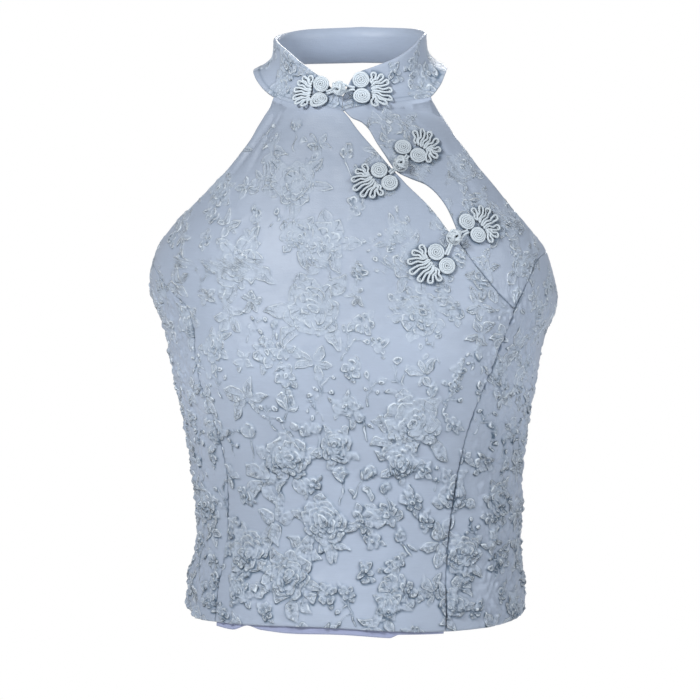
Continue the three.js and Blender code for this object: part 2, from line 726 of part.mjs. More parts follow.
// One half of a frog: two discs side by side and the fan beyond them
function addFrogHalf(frog, half) {
  const frame = clothFrame(frog.on, half, half.turn);
  const disc = discSolid();
  for (const [label, across] of [['a', DISC.apart / 2 + SEAM / 2], ['b', -DISC.apart / 2 - SEAM / 2]]) {
    const lift = seatLift(frame, across);
    const geometry = placedGeometry(disc, (x, y, z) => inPlane(frame, x, across + y, z + lift));
    addPiece(`${frog.name}_disc_${half.side}_${label}`, geometry, 'cord');
  }
  const root = new THREE.Vector2(FAN_ROOT.at, 0);
  const laid = (x, y, z) => {
    const turned = new THREE.Vector2(x, y).rotateAround(root, half.fanTurn * degrees);
    return onCloth(frame, turned.x, turned.y, z + FASTENING_LIFT);
  };
  addPiece(`${frog.name}_fan_${half.side}`, placedGeometry(fanSolid(), laid), 'cord');
  return frame;
}

// How a cord runs over the cloth from the knot to the notch between a half's discs
function cordFrame(knotFrame, halfFrame) {
  const notch = inPlane(halfFrame, -STEM.notch, 0, 0);
  const run = notch.clone().sub(knotFrame.origin);
  const forward = run.clone().addScaledVector(knotFrame.up, -run.dot(knotFrame.up)).normalize();
  const across = knotFrame.up.clone().cross(forward);
  return { frame: { ...knotFrame, forward, across }, length: run.dot(forward) };
}

function addFrog(frog) {
  const [rightFrame, leftFrame] = frog.halves.map((half) => addFrogHalf(frog, half));
  const knotFrame = clothFrame(frog.on, frog.knot, 0);
  const stem = cordFrame(knotFrame, rightFrame);
  const knot = knotSolid().add(stemSolid(stem.length));
  const laid = (x, y, z) => onCloth(stem.frame, x, y, z);
  addPiece(`${frog.name}_knot`, placedGeometry(knot, laid), 'cord');
  const loop = cordFrame(knotFrame, leftFrame);
  const reversed = (x, y, z) => onCloth(loop.frame, loop.length - x, -y, z);
  addPiece(`${frog.name}_loop`, placedGeometry(loopSolid(loop.length), reversed), 'cord');
}
FROGS.forEach(addFrog);

export default top;
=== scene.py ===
# Chinese style halter top in pale blue grey jacquard, filled out as worn and seen from its front.
# Tables and sizes are millimetres and degrees, in the frame's own axes, and meshes are made in metres.
# A table's rows begin with the height or angle at which the rest of the row holds.
import math
from types import SimpleNamespace as Sizes

import bpy
import numpy as np
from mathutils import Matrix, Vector


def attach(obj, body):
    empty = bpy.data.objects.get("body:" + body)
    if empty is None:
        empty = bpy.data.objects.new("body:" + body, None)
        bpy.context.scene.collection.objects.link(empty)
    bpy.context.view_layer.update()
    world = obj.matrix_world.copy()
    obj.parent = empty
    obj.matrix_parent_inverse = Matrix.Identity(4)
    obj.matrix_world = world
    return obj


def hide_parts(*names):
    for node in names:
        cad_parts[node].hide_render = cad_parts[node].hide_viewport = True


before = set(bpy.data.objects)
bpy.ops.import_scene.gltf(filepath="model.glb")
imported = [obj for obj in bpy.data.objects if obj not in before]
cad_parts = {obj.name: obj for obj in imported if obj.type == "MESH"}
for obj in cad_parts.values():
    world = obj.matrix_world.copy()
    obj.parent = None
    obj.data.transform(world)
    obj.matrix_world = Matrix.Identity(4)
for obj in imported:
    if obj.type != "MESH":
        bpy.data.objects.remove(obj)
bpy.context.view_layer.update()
MM = 0.001
CIRCLE = 2 * math.pi


# Camera. The photograph is taken from a little to the wearer's left and just above the bust,
# from far enough away that the sides stay almost parallel.
CAMERA = Sizes(turn=10.5, rise=3.0, distance=2.6, view_width=0.532, sensor=36.0, nearest=0.05)
TARGET = Vector((0, 0, -0.2128))


def add_object(name, data):
    thing = bpy.data.objects.new(name, data)
    bpy.context.scene.collection.objects.link(thing)
    return thing


def aim(name, data, turn, rise, distance):
    turn, rise = math.radians(turn), math.radians(rise)
    back = Vector((math.sin(turn) * math.cos(rise), -math.cos(turn) * math.cos(rise), math.sin(rise)))
    aimed = add_object(name, data)
    aimed.location = TARGET + back * distance
    aimed.rotation_euler = back.to_track_quat("Z", "Y").to_euler()
    return aimed


lens = bpy.data.cameras.new("camera")
lens.sensor_width = CAMERA.sensor
lens.lens = CAMERA.sensor * CAMERA.distance / CAMERA.view_width
lens.clip_start = CAMERA.nearest
bpy.context.scene.camera = aim("camera", lens, CAMERA.turn, CAMERA.rise, CAMERA.distance)


# Studio. A white room: a pale floor well below the hem, white all round, a broad soft light from
# above on the wearer's right, and weaker ones that open the shadows on the other side and behind.
FLOOR = Sizes(height=-0.75, radius=9.0, corners=64, shade=(0.8, 0.8, 0.8, 1), roughness=0.9)
ROOM_LIGHT = 0.25
SOFT_LIGHTS = [
    dict(name="key", turn=-38, rise=33, distance=2.2, size=0.6, power=37, tint=(1.0, 0.995, 0.985)),
    dict(name="fill", turn=50, rise=22, distance=2.2, size=0.9, power=21, tint=(0.98, 0.99, 1.0)),
    dict(name="rear", turn=165, rise=30, distance=2.4, size=1.0, power=32, tint=(1.0, 1.0, 1.0)),
]


def add_node(tree, kind, *inputs, named={}, **settings):
    node = tree.nodes.new(kind)
    for key, value in settings.items():
        setattr(node, key, value)
    for key, value in (*enumerate(inputs), *named.items()):
        if isinstance(value, bpy.types.NodeSocket):
            tree.links.new(value, node.inputs[key])
        elif value is not None:
            node.inputs[key].default_value = value
    return node


def remap(tree, value, start, stop, first, last, curve="LINEAR"):
    limits = {"Value": value, "From Min": start, "From Max": stop, "To Min": first, "To Max": last}
    return add_node(tree, "ShaderNodeMapRange", named=limits, interpolation_type=curve).outputs["Result"]


paint = bpy.data.materials.new("floor_paint")
paint.use_nodes = True
tree = paint.node_tree
shader = tree.nodes["Principled BSDF"]
shader.inputs["Roughness"].default_value = FLOOR.roughness
shader.inputs["Base Color"].default_value = FLOOR.shade
seen = add_node(tree, "ShaderNodeLightPath").outputs["Is Camera Ray"]
glow = add_node(tree, "ShaderNodeEmission").outputs["Emission"]
mix = add_node(tree, "ShaderNodeMixShader", seen, shader.outputs["BSDF"], glow)
tree.links.new(mix.outputs["Shader"], tree.nodes["Material Output"].inputs["Surface"])
mesh = bpy.data.meshes.new("floor")
ring = [CIRCLE * i / FLOOR.corners for i in range(FLOOR.corners)]
points = [(FLOOR.radius * math.cos(a), FLOOR.radius * math.sin(a), FLOOR.height) for a in ring]
mesh.from_pydata(points, [], [list(range(FLOOR.corners))])
mesh.materials.append(paint)
add_object("floor", mesh)

for light in SOFT_LIGHTS:
    lamp = bpy.data.lights.new(light["name"], "AREA")
    lamp.shape = "DISK"
    lamp.size = light["size"]
    lamp.energy = light["power"]
    lamp.color = light["tint"]
    aim(lamp.name, lamp, light["turn"] + CAMERA.turn, light["rise"], light["distance"])
world = bpy.data.worlds.new("white_room")
world.use_nodes = True
tree = world.node_tree
background = tree.nodes["Background"]
background.inputs["Color"].default_value = (1, 1, 1, 1)
seen = add_node(tree, "ShaderNodeLightPath").outputs["Is Camera Ray"]
tree.links.new(remap(tree, seen, 0, 1, ROOM_LIGHT, 1), background.inputs["Strength"])
bpy.context.scene.world = world
bpy.context.scene.view_settings.view_transform = "Standard"


# The filled out body. The cloth follows the wearer, so every panel lies on one smooth form: level
# sections of the body, a rounded bust on each side and slack creases down from both neck corners.
SQUARENESS = Sizes(neck=2, chest=2.25, start=-27, over=45)
BUST = Sizes(z=-222, spread=36, angle=34, width=22, out=9)
# Each crease's angle, height, length, width, depth and lean
CREASES = [
    (-46.5, -44, 17, 2.6, 2.5, 8), (-42, -50, 20, 2.4, 2.0, 4), (-49, -66, 14, 2.6, 1.5, 14),
    (50, -50, 13, 2.3, 1.2, -12), (56, -70, 16, 2.5, 1.3, -16), (60, -104, 20, 2.8, 1.2, -15),
    (52, -150, 16, 3.0, 0.9, -10),
]


def unit(value):
    return np.clip(value, 0, 1)


def table(names, rows):
    at, *columns = np.array(sorted(rows), float).T
    curves = {}
    for name, value in zip(names.split(), columns):
        rate = np.diff(value) / np.diff(at)
        slope = np.concatenate([rate[:1], np.zeros(len(rate) - 1), rate[-1:]])
        same_way = rate[:-1] * rate[1:] > 0
        total = np.where(same_way, rate[:-1] + rate[1:], 1)
        slope[1:-1] = np.where(same_way, 2 * rate[:-1] * rate[1:] / total, 0)
        curves[name] = (value, slope)

    def read(where, name):
        value, slope = curves[name]
        i = np.clip(np.searchsorted(at, where) - 1, 0, len(at) - 2)
        span = at[i + 1] - at[i]
        t = unit((where - at[i]) / span)
        left = 1 - t
        start = (1 + 2 * t) * left**2 * value[i] + t * left**2 * span * slope[i]
        return start + t * t * (3 - 2 * t) * value[i + 1] - t * t * left * span * slope[i + 1]

    return read


# Height, then the half widths to the side, front and back, and how far the body sways to one side
section = table("side front back sway", [
    (30, 74, 57, 58, 0), (-14, 74, 57, 58, 0), (-27, 75, 58, 60, 0.5), (-36, 84, 62, 66, 1.5),
    (-46, 94, 67, 66, 2.5), (-60, 106, 74, 72, 3.5), (-80, 119, 83.5, 78, 4), (-100, 131, 92, 84, 4),
    (-120, 142, 100, 88, 3.5), (-140, 151.2, 106.5, 90, 2.8), (-160, 154.9, 111, 91, 2.7),
    (-169, 154.6, 113, 91.5, 3.2), (-178, 152.2, 114.5, 92, 4.4), (-187, 148.6, 116, 92, 5.2),
    (-196, 144.2, 117, 92, 5.2), (-205, 141.6, 117.5, 91.5, 4.8), (-223, 138.4, 116.5, 90, 5),
    (-251, 132.6, 111, 87, 5.3), (-278, 128.1, 103.5, 83, 5.7), (-305, 124.8, 96.5, 79, 5.6),
    (-333, 122.6, 91.5, 77.5, 6.8), (-351, 122, 90, 79, 6.6), (-369, 123.3, 91, 84, 5.8),
    (-388, 126.8, 94.5, 91, 4.5), (-412, 128, 99, 98, 4.5), (-430, 128.5, 100, 100, 4.5),
])


def ease(share):
    share = unit(share)
    return share * share * (3 - 2 * share)


def bell(away, reach):
    return np.exp(-((away / reach) ** 2))


def together(*parts):
    return np.stack(parts, axis=-1)


def body_points(angle, z):
    angle, z = np.broadcast_arrays(np.asarray(angle, float), np.asarray(z, float))
    settle = ease((SQUARENESS.start - z) / SQUARENESS.over)
    power = SQUARENESS.neck + (SQUARENESS.chest - SQUARENESS.neck) * settle
    sine, cosine = np.sin(np.radians(angle)), np.cos(np.radians(angle))
    reach = np.where(cosine > 0, section(z, "front"), section(z, "back"))
    radius = (np.abs(cosine / reach) ** power + np.abs(sine / section(z, "side")) ** power) ** (-1 / power)
    level = bell(z - BUST.z, BUST.spread)
    swell = BUST.out * level * bell(np.abs(angle) - BUST.angle, BUST.width)
    dent = np.zeros_like(radius)
    for turn, height, length, width, depth, lean in CREASES:
        along = z - height
        across = np.radians(angle - turn) * radius - along * math.tan(math.radians(lean))
        dent += depth * np.exp(-((across / width) ** 2) - (along / length) ** 2)
    radius = radius + np.where(cosine > 0, swell - dent, 0)
    return together(section(z, "sway") + radius * sine, -radius * cosine, z)


def surface_normals(surface, angle, height, step):
    along = surface(angle + 0.5, height) - surface(angle - 0.5, height)
    up = surface(angle, height + step) - surface(angle, height - step)
    normal = np.cross(along, up)
    return normal / np.linalg.norm(normal, axis=-1, keepdims=True)


def body_normals(angle, z):
    return surface_normals(body_points, angle, z, 0.5)


# The woven design. The jacquard's flowers stand up in small puffed petals with a hard raised outline: roses,
# five petal blossoms, buds, leaves and twigs, strewn over a smooth satin ground. Each row is a flower's place
# across the front from its centre, its height and its size.
ROSES = [
    (-33, -289, 34), (4, -279, 24), (-10, -337, 34), (-70, -362, 34), (-36, -379, 38), (61, -262, 42),
    (49, -290, 26), (101, -361, 30), (93, -315, 28), (93, -397, 24), (41, -399, 22), (-11, -178, 42),
    (-3, -131, 34), (-29, -87, 34), (-68, -148, 38), (13, -249, 18), (-22, -127, 26), (48, -123, 20),
    (68, -181, 30), (-100, -271, 24), (-74, -389, 20), (-89, -207, 22), (122, -153, 26), (138, -320, 24),
    (-125, -330, 26), (-122, -190, 24), (140, -225, 24), (52, -66, 22), (88, -112, 24),
]
BLOSSOMS = [
    (-46, -209, 20), (-31, -207, 18), (27, -188, 18), (39, -204, 14), (51, -170, 14), (27, -348, 16),
    (35, -329, 22), (20, -333, 20), (44, -367, 15), (44, -383, 20), (55, -386, 18), (23, -371, 14),
    (11, -386, 14), (-4, -388, 16), (56, -319, 17), (66, -296, 13), (66, -333, 13), (98, -223, 17),
    (93, -234, 11), (-71, -317, 14), (-85, -343, 14), (-109, -398, 14), (-51, -402, 15), (142, -364, 17),
    (128, -336, 16), (122, -292, 17), (142, -390, 13), (106, -380, 14), (116, -401, 12), (-59, -111, 12),
    (-97, -109, 15), (-142, -129, 12), (-123, -144, 14), (19, -221, 14), (17, -102, 14), (-112, -369, 14),
    (-108, -289, 13), (92, -178, 16), (-17, -307, 16), (-138, -356, 14), (-134, -262, 15), (96, -140, 13),
]
BUDS = [
    (-32, -250, 22), (-21, -272, 16), (6, -305, 18), (22, -303, 18), (-31, -48, 15), (-10, -270, 14),
    (-1, -147, 14), (9, -69, 16), (144, -299, 15), (76, -239, 14), (-80, -172, 16), (152, -172, 16),
    (-63, -275, 18), (-128, -300, 15), (74, -88, 15), (-150, -230, 15),
]
LEAF_CLUSTERS = [
    (-62, -243, 32), (-10, -215, 30), (-47, -334, 36), (-55, -306, 30), (78, -350, 36), (74, -386, 24),
    (45, -275, 28), (115, -174, 26), (114, -196, 24), (-76, -184, 24), (-103, -246, 24), (-27, -358, 26),
    (-4, -352, 22), (-54, -82, 22), (147, -242, 24), (156, -269, 22), (-61, -127, 20), (-24, -393, 22),
    (-140, -390, 24), (-145, -290, 22), (60, -46, 26), (104, -128, 20), (44, -40, 22), (70, -72, 26),
    (-48, -62, 24), (-14, -56, 20),
]
TWIGS = [
    (15, -203, 30), (-5, -237, 22), (56, -232, 34), (89, -245, 26), (14, -400, 26), (79, -206, 28),
    (-87, -234, 24), (-39, -109, 26), (35, -134, 20), (-56, -193, 20), (55, -116, 20), (43, -149, 22),
    (-79, -279, 22), (76, -303, 20), (-18, -80, 30), (-112, -225, 24), (-98, -325, 24), (122, -262, 24),
    (-52, -58, 22), (76, -64, 22), (112, -346, 20),
]
DESIGN = Sizes(cell=0.4, left=-175, right=175, low=-425, high=-25)
EDGE_SOFTNESS = 0.4
OUTLINE = Sizes(inset=0.7, width=0.42)
chance = np.random.default_rng(7)
vary = chance.uniform
design_shape = (
    int((DESIGN.high - DESIGN.low) / DESIGN.cell) + 1,
    int((DESIGN.right - DESIGN.left) / DESIGN.cell) + 1,
)
puff = np.zeros(design_shape)
outline = np.zeros(design_shape)
crease = np.zeros(design_shape)
edge_side = np.full(design_shape, -3.0)
edge_near = np.full(design_shape, 3.0)
fold_side = np.full(design_shape, 3.0)
drop = np.full(design_shape, 0.5)


def soften(values, spread):
    reach = int(3 * spread / DESIGN.cell) + 1
    weights = np.exp(-((np.arange(-reach, reach + 1) * DESIGN.cell / spread) ** 2) / 2)
    weights /= weights.sum()
    for axis in (0, 1):
        values = np.apply_along_axis(np.convolve, axis, values, weights, "same")
    return values


def unevenness(size, seed):
    values = soften(np.random.default_rng(seed).normal(size=design_shape), size)
    return values / values.std()


# The loom never draws two flowers alike: the cloth shrinks unevenly and crinkles as it is woven
pull_across = 1.15 * unevenness(3.6, 11) + 0.3 * unevenness(1.7, 12)
pull_along = 1.15 * unevenness(3.6, 13) + 0.3 * unevenness(1.7, 14)
crinkle = np.clip(1 - 1.5 * np.abs(unevenness(1.0, 15)), -0.7, 1) + 0.35 * unevenness(0.55, 16)
line_strength = np.clip(0.72 + 0.42 * unevenness(1.7, 17), 0.08, 1.5)


def design_patch(across, height, reach):
    cell = DESIGN.cell
    left, low = across - reach - DESIGN.left, height - reach - DESIGN.low
    column = np.clip([left / cell, (left + 2 * reach) / cell], 0, design_shape[1]).astype(int)
    row = np.clip([low / cell, (low + 2 * reach) / cell], 0, design_shape[0]).astype(int)
    place = (slice(*row), slice(*column))
    x = DESIGN.left + cell * np.arange(*column) - across
    y = DESIGN.low + cell * np.arange(*row) - height
    x, y = np.meshgrid(x, y)
    return place, x + pull_across[place], y + pull_along[place]


def raise_shape(place, inside, height, marks, down, fold):
    cover = unit(inside / EDGE_SOFTNESS + 0.5)
    rim = bell(inside - OUTLINE.inset, OUTLINE.width)
    # The crease just outside each shape is both a shallow groove and painted shade, darker on edges that face
    # down, where shade falls; drop carries that share to the shader
    lowness = np.clip(0.5 + 0.6 * down, 0.15, 1)
    under = bell(inside + 0.25, 0.42) * lowness * line_strength[place]
    puff[place] += cover * (height - puff[place])
    outline[place] += cover * (np.maximum(rim, marks) * line_strength[place] - outline[place])
    crease[place] = np.maximum(crease[place] * (1 - cover), under)
    on = inside > 0
    beside = (inside > -1.6) & ((edge_side[place] > 0) | (inside > edge_side[place]))
    edge_near[place] = np.where(on, inside, np.minimum(edge_near[place], np.abs(inside)))
    edge_side[place] = np.where(on, np.minimum(inside, 2), np.where(beside, inside, edge_side[place]))
    fold_side[place] = np.where(on, fold, fold_side[place])
    drop[place] = np.where(inside > -1.6, lowness, drop[place])


def petal(place, x, y, turn, out, length, width, height):
    along = x * math.cos(turn) + y * math.sin(turn) - out
    across = y * math.cos(turn) - x * math.sin(turn)
    bearing = np.arctan2(across / width, along / length)
    phases = vary(0, CIRCLE, 3)
    lean, tip = vary(-0.35, 0.35), vary(0.1, 0.6)
    frill = 1 + 0.08 * np.cos(3 * bearing + phases[0]) + 0.06 * np.cos(5 * bearing + phases[1])
    frill += 0.03 * np.cos(9 * bearing + phases[2])
    share = np.hypot(along / length, across / width) / frill
    inside = (1 - share) * min(length, width)
    slope = tip * np.clip(along / length, -1, 1) + lean * np.clip(across / width, -1, 1)
    pleats = 0.4 * unit(np.cos(5 * bearing + phases[1])) ** 4 * unit(share * 1.3 - 0.3)
    down = -np.sin(bearing + turn)
    fold = min(length, width) * share * np.sin(2.5 * bearing + phases[0]) / 2.5
    raise_shape(place, inside, height + slope + 0.26 * crinkle[place], pleats, down, fold)


def leaf(place, x, y, turn, out, length, width):
    along = (x * math.cos(turn) + y * math.sin(turn) - out) / length
    bend = vary(-0.16, 0.16) * length
    across = y * math.cos(turn) - x * math.sin(turn) - bend * np.sin(math.pi * unit(along))
    teeth = 1 + 0.12 * np.abs(np.sin(8 * along))
    half = width * np.sin(math.pi * unit(along) ** 0.8) * teeth
    inside = np.where((along > 0) & (along < 1), half - np.abs(across), -9.0)
    fold = chance.choice([-1, 1]) * 0.35 * np.clip(across / width, -1, 1)
    midrib = 0.9 * bell(across, 0.4)
    slant = along * length - 0.8 * np.abs(across)
    veins = 0.45 * unit(np.cos(CIRCLE * slant / 3.2)) ** 4
    down = -np.sign(across) * math.cos(turn)
    raise_shape(place, inside, 0.5 + fold + 0.3 * crinkle[place], np.maximum(midrib, veins), down, across)


def stem(place, x, y, points, thickness=0.5):
    near = np.full(x.shape, 99.0)
    for (x0, y0), (x1, y1) in zip(points[:-1], points[1:]):
        run = (x1 - x0) ** 2 + (y1 - y0) ** 2
        share = unit(((x - x0) * (x1 - x0) + (y - y0) * (y1 - y0)) / run)
        near = np.minimum(near, np.hypot(x - x0 - share * (x1 - x0), y - y0 - share * (y1 - y0)))
    ridge = bell(near, thickness)
    raise_shape(place, thickness * 1.2 - near, 0.3 * ridge, ridge, 0.0 * near, 3.0)


def curved_line(start, turn, length, bend, points=7):
    steps = np.linspace(0, 1, points)
    headings = turn + bend * (steps - 0.2)
    step = length / (points - 1)
    x = start[0] + np.concatenate([[0], np.cumsum(step * np.cos(headings[:-1]))])
    y = start[1] + np.concatenate([[0], np.cumsum(step * np.sin(headings[:-1]))])
    return list(zip(x, y)), headings[-1]


# A rose's rings of petals from the outside in: how many, how far out, length, width and rise
ROSE_RINGS = [
    (7, 0.62, 0.4, 0.4, 0.45), (6, 0.42, 0.32, 0.34, 0.6),
    (4, 0.24, 0.26, 0.28, 0.75), (3, 0.09, 0.17, 0.19, 0.9),
]


def draw_rose(across, height, size):
    radius = size / 2
    place, x, y = design_patch(across, height, size * 1.25)
    first = vary(0, CIRCLE)
    for i in range(5):
        turn = first + CIRCLE * i / 5 + vary(-0.3, 0.3)
        leaf(place, x, y, turn, 0.7 * radius, radius * vary(0.7, 1.1), radius * 0.26)
    y = y - 0.1 * radius
    for count, out, length, width, rise in ROSE_RINGS:
        first = vary(0, CIRCLE)
        for i in range(count):
            turn = first + CIRCLE * i / count + vary(-0.18, 0.18)
            grow = vary(0.85, 1.15)
            petal(place, x, y, turn, out * radius, length * radius * grow, width * radius * grow, rise)


def draw_blossom(across, height, size):
    radius = size / 2
    place, x, y = design_patch(across, height, size)
    first = vary(0, CIRCLE)
    for side in (0.6, 3.4):
        leaf(place, x, y, first + side, 0.6 * radius, radius * 0.9, radius * 0.28)
    for i in range(5):
        turn = first + CIRCLE * i / 5
        petal(place, x, y, turn, 0.55 * radius, 0.42 * radius, 0.36 * radius, 0.55)
    petal(place, x, y, 0, 0, 0.2 * radius, 0.2 * radius, 0.9)


# A bud's petals: how far each is turned and out, its length, width and rise
BUD_PETALS = [(0, 0.38, 0.34, 0.24, 0.5), (0.35, 0.3, 0.28, 0.17, 0.65), (-0.35, 0.28, 0.26, 0.15, 0.75)]


def draw_bud(across, height, size):
    place, x, y = design_patch(across, height, size * 1.4)
    turn = math.pi / 2 + vary(-0.5, 0.5)
    path, _ = curved_line((0, 0), turn + math.pi, size * 0.9, vary(-0.8, 0.8))
    stem(place, x, y, path)
    leaf(place, x, y, turn + math.pi + 0.7, 0.35 * size, 0.5 * size, 0.11 * size)
    for side, out, long, wide, rise in BUD_PETALS:
        petal(place, x, y, turn + side, out * size, long * size, wide * size, rise)
    for side in (-0.75, 0, 0.75):
        leaf(place, x, y, turn + side, 0, 0.5 * size, 0.06 * size)


def draw_leaves(across, height, size):
    place, x, y = design_patch(across, height, size * 0.8)
    first = vary(0, CIRCLE)
    for i in range(5):
        turn = first + 1.25 * i + vary(-0.25, 0.25)
        length = size * vary(0.42, 0.62)
        leaf(place, x, y, turn, 0.04 * size, length, length * 0.24)


def draw_twig(across, height, size):
    place, x, y = design_patch(across, height, size)
    turn = math.pi / 2 + vary(-0.7, 0.7)
    foot = (-0.4 * size * math.cos(turn), -0.4 * size * math.sin(turn))
    path, heading = curved_line(foot, turn, size * 0.85, vary(-1, 1))
    stem(place, x, y, path)
    for i, side in ((2, 0.8), (3, -0.8), (4, 0.7), (5, -0.6)):
        branch, tip = curved_line(path[i], heading + side, size * vary(0.2, 0.42), side)
        stem(place, x, y, branch, 0.45)
        end_x, end_y = branch[-1]
        petal(place, x - end_x, y - end_y, tip, 0.05 * size, 0.09 * size, 0.07 * size, 0.55)


# Smaller sprays that the loom strews into the gaps between the placed flowers, thicker at the sides:
# what is drawn, its size, the clear space it needs, its spacing, its share, and where it begins and ends
FILL = [
    (draw_rose, 27, 14, 17, 0.9, 104, -170),
    (draw_leaves, 25, 9, 13, 0.75, 100, -160),
    (draw_rose, 24, 11, 14, 0.8, 0, -50),
    (draw_blossom, 15, 7, 11, 0.5, 0, -120),
    (draw_leaves, 20, 6.5, 10, 0.55, 0, -60),
    (draw_twig, 21, 5, 10, 0.4, 0, -150),
    (draw_bud, 12, 4.5, 9, 0.35, 0, -190),
]
DRAWN = [
    (draw_leaves, LEAF_CLUSTERS), (draw_twig, TWIGS), (draw_bud, BUDS), (draw_blossom, BLOSSOMS),
    (draw_rose, ROSES),
]


def is_clear(across, height, reach):
    place, _, _ = design_patch(across, height, reach)
    return puff[place].size > 0 and puff[place].max() < 0.05


def fill_gaps(draw, size, clear, step, share, beyond, high):
    for height in np.arange(-412, high, step):
        for across in np.arange(-172, 172, step):
            x = across + vary(-0.5, 0.5) * step
            z = height + vary(-0.5, 0.5) * step
            keep = vary() < share
            grow = size * vary(0.8, 1.2)
            if keep and abs(x) >= beyond and is_clear(x, z, clear):
                draw(x, z, grow)


for draw, rows in DRAWN:
    for row in rows:
        draw(*row)
for row in FILL:
    fill_gaps(*row)


# How strongly the design is pulled up at each height: faint thin lines at the neck, deep puffs below the
# bust; and how pale or dark its lines, creases and ground are, as painted highlight on the lines, painted
# shade in the creases and painted light and shade on the whole cloth
pull_up = table("puff outline crease line dark tone", [
    (-425, 1.2, 0.8, 0.5, 1.0, 1.0, 0.95), (-402, 2.0, 0.8, 0.7, 1.1, 1.0, 0.95),
    (-300, 1.9, 0.8, 0.7, 1.1, 1.0, 1.0), (-255, 1.1, 0.7, 0.45, 1.0, 0.8, 1.04),
    (-215, 0.5, 0.65, 0.2, 1.0, 0.5, 0.99), (-140, 0.28, 0.65, 0.08, 1.0, 0.25, 0.9),
    (-60, 0.2, 0.65, 0.05, 1.15, 0.2, 0.73), (-40, 0.2, 0.65, 0.05, 1.15, 0.25, 0.78),
    (-27, 0.05, 0.3, 0.05, 0.75, 0.4, 0.92), (-12, 0.05, 0.3, 0.1, 0.7, 0.6, 0.98),
    (40, 0.05, 0.3, 0.1, 0.7, 0.6, 0.95),
])
SHADE_SHIFT_DOWN = 0.9
SOFTNESS = Sizes(puff=0.3, outline=0.22, over=0.9, around=1.5)
CREASE_DEPTH = 0.3
HOLLOW_SHADE = Sizes(gain=0.9, start=0.06)
# Raised figures are lighter: partly their own greyer yarn, partly a painted highlight where they stand up
RAISED = Sizes(outline=0.5, puff=0.35)
heights = DESIGN.low + DESIGN.cell * np.arange(design_shape[0])
puff = soften(puff, SOFTNESS.puff)
outline = soften(outline, SOFTNESS.outline)
relief = puff * pull_up(heights, "puff")[:, None] + outline * pull_up(heights, "outline")[:, None]
relief -= CREASE_DEPTH * crease * pull_up(heights, "outline")[:, None]
# Painted shade in the hollows: the cloth is darkened where the blurred relief stands above it, and the blur
# is shifted down so the painted shadow falls under each puff
over = np.roll(soften(relief, SOFTNESS.over), -int(SHADE_SHIFT_DOWN / DESIGN.cell), axis=0)
beside = 0.5 * soften(relief, SOFTNESS.around) + 0.5 * over
hollow = unit((beside - relief) * HOLLOW_SHADE.gain - HOLLOW_SHADE.start)
# The crease just outside each figure's edge adds painted shade
hollow = unit(hollow + crease * pull_up(heights, "crease")[:, None])
raised = unit(RAISED.outline * np.clip(outline, 0, 1.2) + RAISED.puff * unit(puff))
line = np.clip(line_strength, 0.1, 1.3) * pull_up(heights, "line")[:, None]
# drop sets how much painted shade falls under each figure's lower edges, scaled by height
drop = drop * pull_up(heights, "dark")[:, None]


# What the weave needs to know at each point: how raised it is, how much painted shade lies on it, how strong
# its lines are, and how far from a drawn edge
FIGURES = dict(
    raised=raised, hollow=hollow, line=line,
    edge_side=edge_side, edge_near=edge_near, fold_side=fold_side, drop=drop,
)


def read_design(values, across, height):
    width = DESIGN.right - DESIGN.left
    column = ((across - DESIGN.left) % width) / DESIGN.cell
    row = np.clip((height - DESIGN.low) / DESIGN.cell, 0, design_shape[0] - 1.001)
    c = np.clip(column.astype(int), 0, design_shape[1] - 2)
    r = row.astype(int)
    s = column - c
    t = row - r
    low = values[r, c] * (1 - s) + values[r, c + 1] * s
    high = values[r + 1, c] * (1 - s) + values[r + 1, c + 1] * s
    return low * (1 - t) + high * t


def read_figures(across, height):
    return {name: read_design(values, across, height) for name, values in FIGURES.items()}


# Jacquard cloth. A blistered satin of fine silky yarn: a smooth blue grey ground, and figures in a tighter,
# crinkled weave that is greyer and painted lighter, a painted highlight where they catch the light. Hollows
# and creases carry painted shade and the rims a painted highlight. One group makes its colour and weave.
CLOTH_COLORS = [(0.37, 0.437, 0.555), (0.5, 0.59, 0.695), (0.1, 0.155, 0.23), (0.76, 0.85, 0.95)]
COLOR_ROLES = ("Ground", "Raised", "Hollow", "Rim")
NOISES = Sizes(cloud=14.0, grain=1300.0, slubs=110.0, wrinkles=520.0, drift=240.0, cells=330.0)
SLUB_STRETCH = (1.0, 1.0, 9.0)
DRIFT = (0.005, 0.005, 0.005)
# Each figure has a hard rim carrying a painted highlight and, just outside it and along its folds, a thin
# crease carrying painted shade
EDGE_BANDS = Sizes(rim=(0.45, 0.6), under=(-0.2, 0.5), fold=(0.0, 0.35))
FOLD_SHARE = 0.6
LAYER_DEPTHS = Sizes(cell_walls=0.4, grain=0.16, slubs=0.12, rim=0.55, under=-0.6)
CELL_WALL = 0.13
PALER_OR_DARKER = Sizes(cloud=(0.88, 1.12), slubs=(0.95, 1.05))
BUMP = dict(Strength=0.9, Distance=0.0009)
FIGURES_ROUGHER = 0.08
SHEEN_ROUGHNESS = 0.4
SPECULAR = 0.36
# Painted highlight in pale crinkle lines and painted shade in dark crinkle lines inside the figures: the
# noise's scale, each band and its share
CRINKLE_LINES = Sizes(scale=400.0, pale=(0.52, 0.05), pale_share=0.95, dark=(0.43, 0.045), dark_share=0.65)


def calc(tree, operation, *values):
    return add_node(tree, "ShaderNodeMath", *values, operation=operation).outputs[0]


def product(tree, *values):
    total = values[0]
    for value in values[1:]:
        total = calc(tree, "MULTIPLY", total, value)
    return total


def attribute(tree, name):
    return add_node(tree, "ShaderNodeAttribute", attribute_name=name).outputs["Fac"]


def noise(tree, where, scale, detail, distortion=0.0, output="Fac"):
    named = dict(Vector=where, Scale=scale, Detail=detail, Distortion=distortion)
    return add_node(tree, "ShaderNodeTexNoise", named=named).outputs[output]


